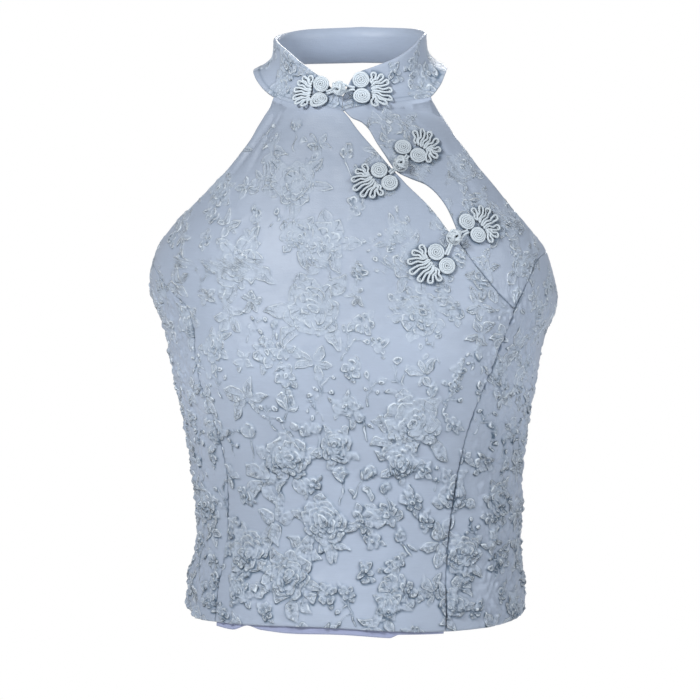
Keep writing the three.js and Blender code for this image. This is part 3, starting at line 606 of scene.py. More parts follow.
def narrow_band(tree, value, middle, reach):
    away = calc(tree, "ABSOLUTE", calc(tree, "SUBTRACT", value, middle))
    return remap(tree, away, 0, reach, 1, 0, "SMOOTHSTEP")


def blend(tree, share, first, second):
    named = {0: share, 6: first, 7: second}
    return add_node(tree, "ShaderNodeMix", named=named, data_type="RGBA").outputs[2]


# Painted light on the figures: the first result is painted highlight on each rim and pale crinkle line, the
# second is painted shade just outside each edge, deeper where it faces down, along the folds and in dark
# crinkle lines
def draw_edges(group, where):
    names = ("line", "edge_side", "edge_near", "drop")
    strength, side, near, down = (attribute(group, name) for name in names)
    close = remap(group, near, 0.8, 1.25, 1, 0)
    rim = product(group, narrow_band(group, side, *EDGE_BANDS.rim), close, strength)
    under = product(group, narrow_band(group, side, *EDGE_BANDS.under), close, strength, down)
    folds = narrow_band(group, attribute(group, "fold_side"), *EDGE_BANDS.fold)
    fold = product(group, folds, remap(group, near, 0.6, 1.0, 0, 1), strength, FOLD_SHARE)
    crinkled = noise(group, where, CRINKLE_LINES.scale, 1.5)
    within = product(group, remap(group, side, 0.1, 0.8, 0, 1), strength)
    pale = product(
        group, narrow_band(group, crinkled, *CRINKLE_LINES.pale), within, CRINKLE_LINES.pale_share,
        remap(group, down, 0.1, 0.7, 0.3, 1),
    )
    dim = product(
        group, narrow_band(group, crinkled, *CRINKLE_LINES.dark), within, CRINKLE_LINES.dark_share,
        remap(group, down, 0, 0.8, 0.15, 1),
    )
    return calc(group, "MAXIMUM", rim, pale), calc(group, "MAXIMUM", calc(group, "MAXIMUM", under, fold), dim)


def make_weave_group():
    group = bpy.data.node_groups.new("silk_weave", "ShaderNodeTree")
    sockets = [(role, "INPUT", "Color") for role in COLOR_ROLES]
    sockets += [("Crinkle", "INPUT", "Float"), ("Smoothness", "INPUT", "Float")]
    sockets += [("Color", "OUTPUT", "Color"), ("Roughness", "OUTPUT", "Float")]
    sockets += [("Normal", "OUTPUT", "Vector")]
    for label, way, kind in sockets:
        group.interface.new_socket(label, in_out=way, socket_type="NodeSocket" + kind)
    given = group.nodes.new("NodeGroupInput").outputs
    where = add_node(group, "ShaderNodeTexCoord").outputs["Object"]
    figure, painted_shade_value, tone = (attribute(group, name) for name in ("raised", "hollow", "tone"))
    cloud = noise(group, where, NOISES.cloud, 3.0)
    grain = noise(group, where, NOISES.grain, 1.0)
    stretched = add_node(group, "ShaderNodeVectorMath", where, SLUB_STRETCH, operation="MULTIPLY")
    slubs = noise(group, stretched.outputs[0], NOISES.slubs, 2.0)
    wrinkles = noise(group, where, NOISES.wrinkles, 2.5, 0.8)
    moved = noise(group, where, NOISES.drift, 1.0, output="Color")
    drift = add_node(group, "ShaderNodeVectorMath", moved, DRIFT, where, operation="MULTIPLY_ADD").outputs[0]
    named = dict(Vector=drift, Scale=NOISES.cells)
    cells = add_node(group, "ShaderNodeTexVoronoi", named=named, feature="DISTANCE_TO_EDGE")
    walls = remap(group, cells.outputs["Distance"], 0, CELL_WALL, 1, 0)
    rim, under = draw_edges(group, drift)
    # Colour: the ground, raised figures lighter (their own grey and partly painted highlight), painted
    # highlight on rims and crinkle lines, then painted shade in hollows and under edges
    color = blend(group, figure, given["Ground"], given["Raised"])
    color = blend(group, rim, color, given["Rim"])
    color = blend(group, painted_shade_value, color, given["Hollow"])
    color = blend(group, under, color, given["Hollow"])
    # Random cloudy and slubby paleness of the yarn, times the painted light and shade by height
    paler = remap(group, cloud, 0, 1, *PALER_OR_DARKER.cloud)
    shade = product(group, paler, remap(group, slubs, 0, 1, *PALER_OR_DARKER.slubs), tone)
    tinted = add_node(group, "ShaderNodeVectorMath", named=dict(Vector=color, Scale=shade), operation="SCALE")
    ridges = calc(group, "MULTIPLY_ADD", walls, LAYER_DEPTHS.cell_walls, wrinkles)
    weave = product(group, ridges, product(group, figure, given["Crinkle"]))
    for name, layer in dict(grain=grain, slubs=slubs, rim=rim, under=under).items():
        weave = calc(group, "MULTIPLY_ADD", layer, getattr(LAYER_DEPTHS, name), weave)
    bump = add_node(group, "ShaderNodeBump", named=dict(Height=weave, **BUMP))
    rough = calc(group, "MULTIPLY_ADD", figure, FIGURES_ROUGHER, given["Smoothness"])
    add_node(group, "NodeGroupOutput", tinted.outputs[0], rough, bump.outputs["Normal"])
    return group


weave_group = make_weave_group()


def silk_material(name, colors, crinkle, smoothness, sheen):
    material = bpy.data.materials.new(name)
    material.use_nodes = True
    tree = material.node_tree
    shader = tree.nodes["Principled BSDF"].inputs
    given = {role: (*color, 1) for role, color in zip(COLOR_ROLES, colors)}
    given.update(Crinkle=crinkle, Smoothness=smoothness)
    weave = add_node(tree, "ShaderNodeGroup", node_tree=weave_group)
    for label, value in given.items():
        weave.inputs[label].default_value = value
    for label, socket in (("Color", "Base Color"), ("Roughness", "Roughness"), ("Normal", "Normal")):
        tree.links.new(weave.outputs[label], shader[socket])
    shader["Sheen Weight"].default_value = sheen
    shader["Sheen Roughness"].default_value = SHEEN_ROUGHNESS
    shader["Specular IOR Level"].default_value = SPECULAR
    return material


jacquard = silk_material("jacquard", CLOTH_COLORS, 1.0, 0.46, 0.25)


# Front. The widest panel, from the neck and the right armhole to the hem, with a straight slanting
# edge where it closes over the chest piece. Its walls turn in at every edge, as a faced edge does.
CLOTH = 1.5
PUCKER = Sizes(depth=0.55, reach=3.5, wave=6.5, waver=25, high=-140, fade=40)
SEAM_SHADE = Sizes(dark=0.55, reach=0.5)
FLAT_EDGE = Sizes(reach=0.8, narrow=6, narrow_roll=4)
SIDE_LINES = Sizes(start=85, over=30)
SEAM = 0.3
NECK_SEAM = 0.6
SEAM_TIP = 0.9
EDGE_ROLL = Sizes(depth=0.45, width=0.7)
SIDE_SEAM_ANGLE = 92
BACK_SEAM_ANGLE = 180
NECKLINE_ROW = -31
NECKLINE_BLEND_ROW = -46
DIAGONAL_END = -178
BUST_SEAM_START = dict(right=-141, left=-137)
UNDERARM_ROW = -170
HEM_ROW = -412.5
HEM_BLEND_ROW = -369
ROW_SPACING = [(-31, -150, 1.25), (-150, -412.5, 1.0)]
INNER_STEP = 10
# At each height, the angles where the right and left armhole and the right and left bust seam run
armhole = table("right left", [
    (-31, -50.5, 69), (-37, -53, 69.5), (-43, -52.8, 67), (-52, -52, 65), (-69, -54, 66),
    (-87, -59.2, 69.7), (-105, -66.4, 73.6), (-123, -75.7, 79.6), (-137, -82.8, 83.8),
    (-150, -86.5, 86), (-170, -92, 92),
])
bust_seam = table("right left", [
    (-137, -90, 83.8), (-141, -83.8, 77), (-145, -78, 74), (-153, -69.5, 71), (-162, -62.5, 67.8),
    (-170, -56.8, 65.3), (-178, -52.2, 63), (-194, -49.8, 61), (-211, -48.8, 58), (-235, -48.2, 53.9),
    (-265, -47.6, 51.2), (-300, -48, 50), (-339, -51.6, 48.4), (-371, -53, 47.4), (-412.5, -52, 45.4),
])
# At each height, the angles of the front's slanting edge and of the chest piece's edge under it
diagonal = table("front chest", [
    (-31, 4.2, 5.1), (-38, 8.6, 10.4), (-41, 10.2, 16), (-46, 13, 20), (-55, 18.2, 22.7),
    (-64, 23.2, 25.8), (-77, 29.2, 30.3), (-82, 31.6, 35.6), (-86.5, 33.5, 41.3), (-94, 37, 44.8),
    (-102.5, 40.5, 46.7), (-111, 43, 47.6), (-121, 45.4, 48.2), (-128, 47.2, 47.9), (-132, 48.7, 48.8),
    (-149, 52.9, 52.9), (-166, 57.8, 57.8), (-178, 62.5, 62.5),
])
# At each angle, the heights of the collar's lower and upper edge, and of the hem
collar_edge = table("lower upper", [
    (-180, 8, 34), (-135, 7, 32), (-105, 4, 27.6), (-84, -0.6, 23.8), (-72, -6.8, 21.4),
    (-60, -15, 17.4), (-50, -20.6, 13.2), (-34, -25.2, 4.2), (-19, -27.4, -4.6), (-12, -28.1, -8.4),
    (-7, -28.7, -13.8), (-1, -29.5, -18.9), (4.5, -31, -21.2), (8, -30.1, -15.3), (12, -29.1, -8.3),
    (17, -28.2, -4), (30, -26.3, 0.4), (50, -23.9, 7.4), (66, -21.6, 15.2), (78, -12.2, 21.8),
    (88, -2.2, 25.6), (105, 4, 28.4), (135, 7, 32), (180, 8, 34),
])
hemline = table("z", [
    (-180, -408), (-90, -406.5), (-75, -408.5), (-60, -413.2), (-45, -413), (-10, -412), (45, -415.2),
    (60, -414.6), (90, -410.5), (180, -408),
])


def row_height(row, angle):
    neck_share = (row - NECKLINE_BLEND_ROW) / (NECKLINE_ROW - NECKLINE_BLEND_ROW)
    neckline = collar_edge(angle, "lower") - NECK_SEAM
    near_neck = NECKLINE_BLEND_ROW + neck_share * (neckline - NECKLINE_BLEND_ROW)
    hem_share = (row - HEM_BLEND_ROW) / (HEM_ROW - HEM_BLEND_ROW)
    near_hem = HEM_BLEND_ROW + hem_share * (hemline(angle, "z") - HEM_BLEND_ROW)
    return np.where(row > NECKLINE_BLEND_ROW, near_neck, np.where(row < HEM_BLEND_ROW, near_hem, row))


def panel_rows(top, bottom):
    rows = []
    for start, stop, spacing in ROW_SPACING:
        start = min(start, top)
        stop = max(stop, bottom)
        if start > stop:
            count = max(1, round((start - stop) / spacing))
            rows.extend(np.linspace(start, stop, count + 1)[: -1 if stop > bottom else None])
    return np.array(rows)


def column_shares(columns):
    middle = list(range(1, columns))
    return np.array([0, 0.35, 0.7, *middle, columns - 0.7, columns - 0.35, columns]) / columns


def arc_from_front(angle, z):
    marks = np.arange(-180, 181, 2.0)
    across = np.empty_like(angle)
    for i in range(len(angle)):
        line = body_points(marks, float(z[i, z.shape[1] // 2]))
        steps = np.linalg.norm(np.diff(line, axis=0), axis=1)
        length = np.concatenate([[0], np.cumsum(steps)])
        length -= np.interp(0, marks, length)
        across[i] = np.interp(angle[i], marks, length)
    return across


def ripple(across, height, size, seed):
    draw = np.random.default_rng(seed)
    total = np.zeros_like(across)
    for _ in range(24):
        turn, phase = draw.uniform(0, CIRCLE, 2)
        wave = CIRCLE / (size * draw.uniform(0.7, 1.5))
        total += np.cos(wave * (across * math.cos(turn) + height * math.sin(turn)) + phase)
    return total / math.sqrt(12)


# Crumpled cloth at the wearer's sides, where the blisters bunch up, and slack cloth by the collar
CRUMPLE = Sizes(
    start=100, over=40, stop=180, past=40, left=0.3, high=-150, fade=40,
    fold=9, depth=0.85, small=4.6, shallow=0.5, sunk=0.5, sharper=0.45,
    fewer_puffs=0.45, more_puffs=0.85, more_from=-300, more_over=50,
)
# The cloth's own faint waves: depth, size and seed
WAVES = [(0.16, 34, 5), (0.05, 9, 6)]
# Each slack fold's angle, height, reach round, reach up, depth and wave
SLACK = [(45, -36, 15, 5, 0.7, 4.2), (36, -46, 10, 4, 0.5, 3.8)]


def cloth_height(angle, z, across):
    height = read_design(relief, across, z)
    side = ease((np.abs(across) - CRUMPLE.start) / CRUMPLE.over)
    side *= 1 - (1 - CRUMPLE.left) * ease((np.abs(across) - CRUMPLE.stop) / CRUMPLE.past)
    side *= ease((CRUMPLE.high - z) / CRUMPLE.fade)
    folds = np.abs(ripple(across, z * 0.7, CRUMPLE.fold, 3)) * CRUMPLE.depth
    small = np.abs(ripple(across * 1.2, z * 0.6, CRUMPLE.small, 4)) * CRUMPLE.shallow
    puffs = CRUMPLE.more_puffs * ease((z - CRUMPLE.more_from) / CRUMPLE.more_over) - CRUMPLE.fewer_puffs
    height = height * (1 + side * puffs) + side * (folds + small - CRUMPLE.sunk)
    height += sum(depth * ripple(across, z, size, seed) for depth, size, seed in WAVES)
    for turn, middle, wide, high, depth, wave in SLACK:
        near = bell(angle - turn, wide) * bell(z - middle, high)
        height += near * depth * np.cos(CIRCLE * (z + 0.08 * angle) / wave)
    return height


def edge_roll(distance):
    return EDGE_ROLL.depth * bell(distance, EDGE_ROLL.width)


def ring_places(rows, columns):
    down = [(r, 0) for r in range(rows)]
    along = [(rows - 1, c) for c in range(1, columns)]
    up = [(r, columns - 1) for r in range(rows - 2, -1, -1)]
    back = [(0, c) for c in range(columns - 2, 0, -1)]
    return down + along + up + back


def inner_faces(rows, columns, first, ring_index):
    row_picks = sorted({*range(0, rows - 1, INNER_STEP), rows - 1})
    column_picks = sorted({*range(0, columns - 1, INNER_STEP), columns - 1})
    index = dict(ring_index)
    kept = []
    for r in row_picks[1:-1]:
        for c in column_picks[1:-1]:
            index[(r, c)] = first + len(kept)
            kept.append((r, c))
    faces = []
    for r0, r1 in zip(row_picks[:-1], row_picks[1:]):
        for c0, c1 in zip(column_picks[:-1], column_picks[1:]):
            top = range(c0, c1) if r0 == 0 else [c0]
            right = range(r0, r1) if c1 == columns - 1 else [r0]
            bottom = range(c1, c0, -1) if r1 == rows - 1 else [c1]
            left = range(r1, r0, -1) if c0 == 0 else [r1]
            loop = [(r0, c) for c in top] + [(r, c1) for r in right]
            loop += [(r1, c) for c in bottom] + [(r, c0) for r in left]
            faces.append([index[key] for key in loop])
    return kept, faces


def vertex_places(mesh):
    place = np.empty(len(mesh.vertices) * 3, np.float32)
    mesh.vertices.foreach_get("co", place)
    return (place / MM).reshape(-1, 3)


def vertex_values(mesh, name):
    values = np.empty(len(mesh.vertices), np.float32)
    mesh.attributes[name].data.foreach_get("value", values)
    return values


def give_values(mesh, name, values):
    mesh.attributes.new(name, "FLOAT", "POINT").data.foreach_set("value", values)


# Painted light and shade by height: every piece's colour is scaled paler or darker with its height
def give_painted_shading(mesh):
    give_values(mesh, "tone", pull_up(vertex_places(mesh)[:, 2], "tone").astype(np.float32))


def dress(piece, node):
    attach(piece, "root")
    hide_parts(node)


# Painted light on the cloth beside the neck, under the collar's flare, where the collar's shadow falls, and
# painted shade on the sides low down
NECK_LIGHT = Sizes(z=-27, over=8, start=46, turn=16, paler=0.32)
SIDE_SHADE = Sizes(start=24, turn=26, high=-230, fade=60, duller=0.1)


def paint_neck_light_and_side_shade(mesh):
    x, y, z = vertex_places(mesh).T
    angle = np.abs(np.degrees(np.arctan2(x, -y)))
    near = bell(z - NECK_LIGHT.z, NECK_LIGHT.over) * ease((angle - NECK_LIGHT.start) / NECK_LIGHT.turn)
    side = ease((angle - SIDE_SHADE.start) / SIDE_SHADE.turn)
    side *= ease((SIDE_SHADE.high - z) / SIDE_SHADE.fade)
    paler = (1 + NECK_LIGHT.paler * near - SIDE_SHADE.duller * side).astype(np.float32)
    mesh.attributes["tone"].data.foreach_set("value", vertex_values(mesh, "tone") * paler)


def wall_object(name, node, material, base, normal, height, thickness, figures):
    outer = base + normal * height[..., None]
    inner = base - normal * thickness
    rows, columns = outer.shape[:2]
    number = np.arange(rows * columns).reshape(rows, columns)
    quads = together(number[:-1, :-1], number[1:, :-1], number[1:, 1:], number[:-1, 1:])
    faces = quads.reshape(-1, 4).tolist()
    ring = ring_places(rows, columns)
    middle_first = rows * columns
    inner_first = middle_first + len(ring)
    middle = np.array([(outer[p] + inner[p]) / 2 for p in ring])
    inner_ring = np.array([inner[p] for p in ring])
    ring_index = {place: inner_first + i for i, place in enumerate(ring)}
    for i in range(len(ring)):
        j = (i + 1) % len(ring)
        a, b = int(number[ring[i]]), int(number[ring[j]])
        faces.append([b, a, middle_first + i, middle_first + j])
        faces.append([middle_first + j, middle_first + i, inner_first + i, inner_first + j])
    kept, inside = inner_faces(rows, columns, inner_first + len(ring), ring_index)
    faces.extend(inside)
    field = np.array([inner[p] for p in kept]) if kept else np.zeros((0, 3))
    points = np.concatenate([outer.reshape(-1, 3), middle, inner_ring, field]) * MM
    mesh = bpy.data.meshes.new(name)
    mesh.from_pydata(points.tolist(), [], faces)
    for label, values in figures.items():
        data = np.zeros(len(points), np.float32)
        data[: rows * columns] = values.reshape(-1)
        give_values(mesh, label, data)
    # Painted light and shade by height
    give_painted_shading(mesh)
    mesh.shade_smooth()
    mesh.materials.append(material)
    mesh.update()
    piece = add_object(name, mesh)
    dress(piece, node)
    return piece


def cloth_panel(name, node, top, bottom, columns, start, end, shared_edge="start", shift=0):
    rows = panel_rows(top, bottom)[:, None]
    radius = section(rows, "side")
    gap = np.degrees(SEAM / 2 / radius)
    tip = np.degrees(SEAM_TIP / radius)
    first = start(rows) + gap
    last = end(rows) - gap
    narrow = last - first < tip
    if shared_edge == "start":
        last = np.where(narrow, first + tip, last)
    else:
        first = np.where(narrow, last - tip, first)
    angle = first + (last - first) * column_shares(columns)
    z = row_height(rows, angle)
    across = arc_from_front(angle, z)
    height = cloth_height(angle, z, across + shift)
    figures = read_figures(across + shift, z)
    # Painted rim highlights and crease shade grow stronger towards the sides
    figures["line"] *= 1 + CRUMPLE.sharper * ease((np.abs(across) - SIDE_LINES.start) / SIDE_LINES.over)
    width = across[:, -1:] - across[:, :1]
    to_side = np.minimum(across - across[:, :1], across[:, -1:] - across)
    to_end = np.minimum(np.abs(rows - rows[0]), np.abs(rows - rows[-1])) + 0 * across
    height = height * unit(to_side / FLAT_EDGE.reach) * unit(width / FLAT_EDGE.narrow)
    waver = 1.5 * ripple(0 * z, z, PUCKER.waver, 8)
    tug = 0.5 + 0.5 * np.sin(CIRCLE * (z + waver) / PUCKER.wave)
    tug = PUCKER.depth * tug * bell(to_side, PUCKER.reach)
    height -= tug * unit((PUCKER.high - z) / PUCKER.fade)
    height -= edge_roll(to_side) * unit(width / FLAT_EDGE.narrow_roll) + edge_roll(to_end)
    shaded = SEAM_SHADE.dark * bell(to_side, SEAM_SHADE.reach)
    figures["hollow"] = unit(figures["hollow"] + shaded)
    base, normal = body_points(angle, z), body_normals(angle, z)
    piece = wall_object(name, node, jacquard, base, normal, height, CLOTH, figures)
    # Painted light beside the neck and painted shade on the lower sides
    paint_neck_light_and_side_shade(piece.data)
    return piece


def outer_edge(side):
    return lambda row: np.where(row > BUST_SEAM_START[side], armhole(row, side), bust_seam(row, side))


def slanting_edge(row):
    return np.where(row >= DIAGONAL_END, diagonal(row, "front"), bust_seam(row, "left"))


front = cloth_panel(
    "front_cloth", "front_main", NECKLINE_ROW, HEM_ROW, 244, outer_edge("right"), slanting_edge,
)


# Left chest piece. Runs from the neck down to the bust seam under the slanting edge, and bows away
# from it twice, so that skin shows between the three frogs.
chest_piece = cloth_panel(
    "chest_cloth", "front_upper_left", NECKLINE_ROW, DIAGONAL_END, 90,
    lambda row: diagonal(row, "chest"), outer_edge("left"), shift=9,
)


# Side fronts. Two narrow panels from the armholes to the hem, sewn to the front over the bust, which
# curve round the ribs and lie bunched and crumpled there.
def side_edge(side, seam_angle):
    return lambda row: np.where(row > UNDERARM_ROW, armhole(row, side), seam_angle)


side_right = cloth_panel(
    "side_front_right_cloth", "side_front_right", BUST_SEAM_START["right"], HEM_ROW, 84,
    side_edge("right", -SIDE_SEAM_ANGLE),
    lambda row: bust_seam(row, "right"), "end", -6,
)
side_left = cloth_panel(
    "side_front_left_cloth", "side_front_left", BUST_SEAM_START["left"], HEM_ROW, 84,
    lambda row: bust_seam(row, "left"),
    side_edge("left", SIDE_SEAM_ANGLE), "start", 6,
)


# Backs. Two plain panels below the shoulder blades, sewn together down the middle of the back.
# The photograph doesn't show them, so they carry the same cloth with no other feature.
def straight_edge(seam_angle):
    return lambda row: seam_angle + 0 * row


back_right = cloth_panel(
    "back_right_cloth", "back_right", UNDERARM_ROW, HEM_ROW, 150,
    straight_edge(-BACK_SEAM_ANGLE), straight_edge(-SIDE_SEAM_ANGLE),
)
back_left = cloth_panel(
    "back_left_cloth", "back_left", UNDERARM_ROW, HEM_ROW, 150,
    straight_edge(SIDE_SEAM_ANGLE), straight_edge(BACK_SEAM_ANGLE),
)


# Collar. One stiffened band round the neck that opens at the front, with a fine line of stitching
# just above its lower edge, which flares out over the neckline.
COLLAR_CLOTH = 2
COLLAR_RING = Sizes(side=58, front=52, side_flare=16, front_flare=6, flare_power=4.6)
COLLAR_OPENING = Sizes(angle=4.5, width=0.3)
COLLAR_GRID = Sizes(around=400, up=44, crowding=1.4, front_finer=0.05)
COLLAR_DESIGN = Sizes(across=-25, up=-392, height=0.2, hollow=0.4, line=0.8, seam_at=1.9, seam_depth=0.18)


def collar_points(angle, share):
    angle, share = np.broadcast_arrays(np.asarray(angle, float), np.asarray(share, float))
    flare = np.maximum(1 - share, 0) ** COLLAR_RING.flare_power
    side = COLLAR_RING.side + COLLAR_RING.side_flare * flare
    front_depth = COLLAR_RING.front + COLLAR_RING.front_flare * flare
    sine, cosine = np.sin(np.radians(angle)), np.cos(np.radians(angle))
    radius = 1 / np.hypot(sine / side, cosine / front_depth)
    lower = collar_edge(angle, "lower")
    z = lower + (collar_edge(angle, "upper") - lower) * share
    return together(radius * sine, -radius * cosine, z)


def collar_normals(angle, share):
    return surface_normals(collar_points, angle, share, 0.02)


def collar_piece():
    gap = math.degrees(COLLAR_OPENING.width / 2 / COLLAR_RING.front)
    around = column_shares(COLLAR_GRID.around)
    eased = around - COLLAR_GRID.front_finer * np.sin(CIRCLE * around)
    turned = COLLAR_OPENING.angle + gap + (360 - 2 * gap) * eased
    angle = np.where(turned > 180, turned - 360, turned)[None, :]
    share = ((1 - np.linspace(0, 1, COLLAR_GRID.up + 1)) ** COLLAR_GRID.crowding)[:, None]
    band = collar_edge(angle, "upper") - collar_edge(angle, "lower")
    angle, share, band = np.broadcast_arrays(angle, share, band)
    across = np.radians(angle) * COLLAR_RING.side + COLLAR_DESIGN.across
    up = share * band + COLLAR_DESIGN.up
    figures = read_figures(across, up)
    height = read_design(relief, across, up) * COLLAR_DESIGN.height
    from_lower = share * band
    from_upper = (1 - share) * band
    seam_line = bell(from_lower - COLLAR_DESIGN.seam_at, 0.4)
    height = height * unit(from_lower / 3 - 0.8) * unit(from_upper / 2)
    height = height - COLLAR_DESIGN.seam_depth * seam_line
    to_front = np.abs((turned - COLLAR_OPENING.angle + 180) % 360 - 180) * math.radians(COLLAR_RING.front)
    height = height - edge_roll(from_lower) - edge_roll(from_upper) - edge_roll(to_front[None, :])
    # Painted shade along the sunk stitching line, and the design's painted hollow shade made weaker on the
    # collar
    figures["hollow"] = unit(COLLAR_DESIGN.hollow * figures["hollow"] + 0.4 * seam_line)
    figures["line"] = COLLAR_DESIGN.line * figures["line"]
    base, normal = collar_points(angle, share), collar_normals(angle, share)
    return wall_object(
        "collar_band", "collar", jacquard, base, normal, height, COLLAR_CLOTH, figures,
    )


collar = collar_piece()


# Hem facing. A strip of plain lavender grey satin inside the front hem, a little longer than the
# hem, so its lower edge shows unevenly.
FACING_CLOTH = 1
FACING = Sizes(start=-52, stop=45, above=12, columns=180, rows=16, wave=0.25)
FACING_COLORS = [(0.33, 0.37, 0.55), (0.33, 0.37, 0.55), (0.2, 0.22, 0.35), (0.33, 0.37, 0.55)]
facing_satin = silk_material("facing_satin", FACING_COLORS, 0.0, 0.42, 0.2)
# At each angle, how far the facing hangs below the hem
facing_drop = table("drop", [
    (-52, 3), (-44, 4.5), (-37, 0.6), (-31, 3.3), (-15, 5.4), (8, 4.6), (24, 5), (28, 2.3), (45, 1.5),
])


def facing_piece():
    angle = np.linspace(FACING.start, FACING.stop, FACING.columns)[None, :]
    share = np.linspace(0, 1, FACING.rows)[:, None]
    z = hemline(angle, "z") + FACING.above - (FACING.above + facing_drop(angle, "drop")) * share
    angle, z, share = np.broadcast_arrays(angle, z, share)
    normal = body_normals(angle, z)
    wave = FACING.wave * ripple(angle * 1.7, z * 0.4, 16, 9)
    base = body_points(angle, z) - normal * (CLOTH + SEAM)
    return wall_object(
        "facing_strip", "hem_facing", facing_satin, base, normal, np.minimum(wave, 0),
        FACING_CLOTH, {},
    )


facing = facing_piece()


# Frog discs. Each is one satin cord wound flat on itself in about four turns and sewn down, two side by
# side at the root of every fan. The cord is three fine strands laid together, with a silky shine.
# KNOTS says which cloth each frog's knot lies on, and its angle and height there.
KNOTS = dict(neck=("collar", 2, 1.5), upper=("body", 32.3, -73.4), chest=("body", 46.1, -126.5))
# Each half's frog and side, the angle and height of its discs, its turn, its fan's turn and skew, its size
HALF_VALUES = ("frog", "side", "angle", "height", "turn", "fan_turn", "skew", "size")
HALVES = [
    ("neck", "right", -13.5, 0.45, 176, 0, 0, 0.86),
    ("neck", "left", 19.5, 0.49, 3, -6, -2, 0.95),
    ("upper", "right", 24.3, -81.6, 217, -8, -3, 1.0),
    ("upper", "left", 38.6, -63.2, 57, -38, -5.5, 1.0),
    ("chest", "right", 41.2, -141.2, 216, -10, -2.4, 1.06),
    ("chest", "left", 53.3, -119.3, 34, -11, -3, 1.04),
]
halves = [Sizes(**dict(zip(HALF_VALUES, row))) for row in HALVES]
DISC = Sizes(radius=6.2, apart=12.4, cord=0.73, pitch=1.42, turns=4.6, dome=0.7)
CORD_COLORS = [(0.61, 0.69, 0.765), (0.66, 0.74, 0.81), (0.2, 0.25, 0.32), (0.66, 0.74, 0.81)]
FASTENING_LIFT = 0.8
STRANDS = 3
CORD_STEP = 0.55
CORD_INPUTS = [
    ("Geometry", "Geometry"), ("Cord Radius", "Float"), ("Strand Depth", "Float"), ("Twist Length", "Float"),
    ("Step", "Float"), ("Material", "Material"),
]
cord_satin = silk_material("cord_satin", CORD_COLORS, 0.0, 0.34, 0.35)


def body_place(points):
    angle = np.degrees(np.arctan2(points[..., 0] - section(points[..., 2], "sway"), -points[..., 1]))
    return angle, points[..., 2]


def collar_place(points):
    angle = np.degrees(np.arctan2(points[..., 0], -points[..., 1]))
    lower = collar_edge(angle, "lower")
    return angle, (points[..., 2] - lower) / (collar_edge(angle, "upper") - lower)


GROUNDS = dict(
    body=(body_points, body_normals, body_place),
    collar=(collar_points, collar_normals, collar_place),
)


def cloth_frame(on, angle, height, turn):
    points, normals, _ = GROUNDS[on]
    origin, up = points(angle, height), normals(angle, height)
    level = np.array([-up[1], up[0], 0])
    level /= np.linalg.norm(level)
    rise = np.cross(up, level)
    forward = level * math.cos(math.radians(turn)) + rise * math.sin(math.radians(turn))
    return dict(on=on, origin=origin, up=up, forward=forward, across=np.cross(up, forward))


def on_cloth(spot, path):
    points, normals, place = GROUNDS[spot["on"]]
    path = np.asarray(path, float)
    flat = np.multiply.outer(path[:, 0], spot["forward"]) + np.multiply.outer(path[:, 1], spot["across"])
    angle, height = place(spot["origin"] + flat)
    return points(angle, height) + normals(angle, height) * path[:, 2:3]


def make_cord_tree():
    tree = bpy.data.node_groups.new("laid_cord", "GeometryNodeTree")
    ids = []
    for label, kind in CORD_INPUTS:
        socket = tree.interface.new_socket(label, in_out="INPUT", socket_type="NodeSocket" + kind)
        ids.append(socket.identifier)
    tree.interface.new_socket("Geometry", in_out="OUTPUT", socket_type="NodeSocketGeometry")
    given = tree.nodes.new("NodeGroupInput").outputs
    path = add_node(tree, "GeometryNodeMeshToCurve", given["Geometry"])
    named = dict(Curve=path.outputs["Curve"], Length=given["Step"])
    even = add_node(tree, "GeometryNodeResampleCurve", named=named, mode="LENGTH")
    run = add_node(tree, "GeometryNodeSplineParameter")
    turns = calc(tree, "DIVIDE", run.outputs["Length"], given["Twist Length"])
    named = dict(Curve=even.outputs["Curve"], Tilt=calc(tree, "MULTIPLY", turns, CIRCLE))
    twisted = add_node(tree, "GeometryNodeSetCurveTilt", named=named)
    named = dict(Resolution=9, Radius=given["Cord Radius"])
    ring = add_node(tree, "GeometryNodeCurvePrimitiveCircle", named=named, mode="RADIUS")
    lobes = calc(tree, "MULTIPLY", run.outputs["Factor"], STRANDS * 2 * math.pi)
    depth = calc(tree, "MULTIPLY", calc(tree, "COSINE", lobes), given["Strand Depth"])
    named = dict(Vector=add_node(tree, "GeometryNodeInputPosition").outputs[0], Scale=depth)
    push = add_node(tree, "ShaderNodeVectorMath", named=named, operation="SCALE")
    named = dict(Geometry=ring.outputs["Curve"], Offset=push.outputs[0])
    strands = add_node(tree, "GeometryNodeSetPosition", named=named)
    named = {"Profile Curve": strands.outputs["Geometry"], "Fill Caps": True}
    cord = add_node(tree, "GeometryNodeCurveToMesh", twisted.outputs["Curve"], named=named)
    smooth = add_node(tree, "GeometryNodeSetShadeSmooth", cord.outputs["Mesh"])
    real = add_node(tree, "GeometryNodeRealizeInstances", smooth.outputs["Geometry"])
    named = dict(Geometry=real.outputs["Geometry"], Material=given["Material"])
    dyed = add_node(tree, "GeometryNodeSetMaterial", named=named)
    add_node(tree, "NodeGroupOutput", dyed.outputs["Geometry"])
    return tree, ids[1:]


cord_tree, cord_ids = make_cord_tree()


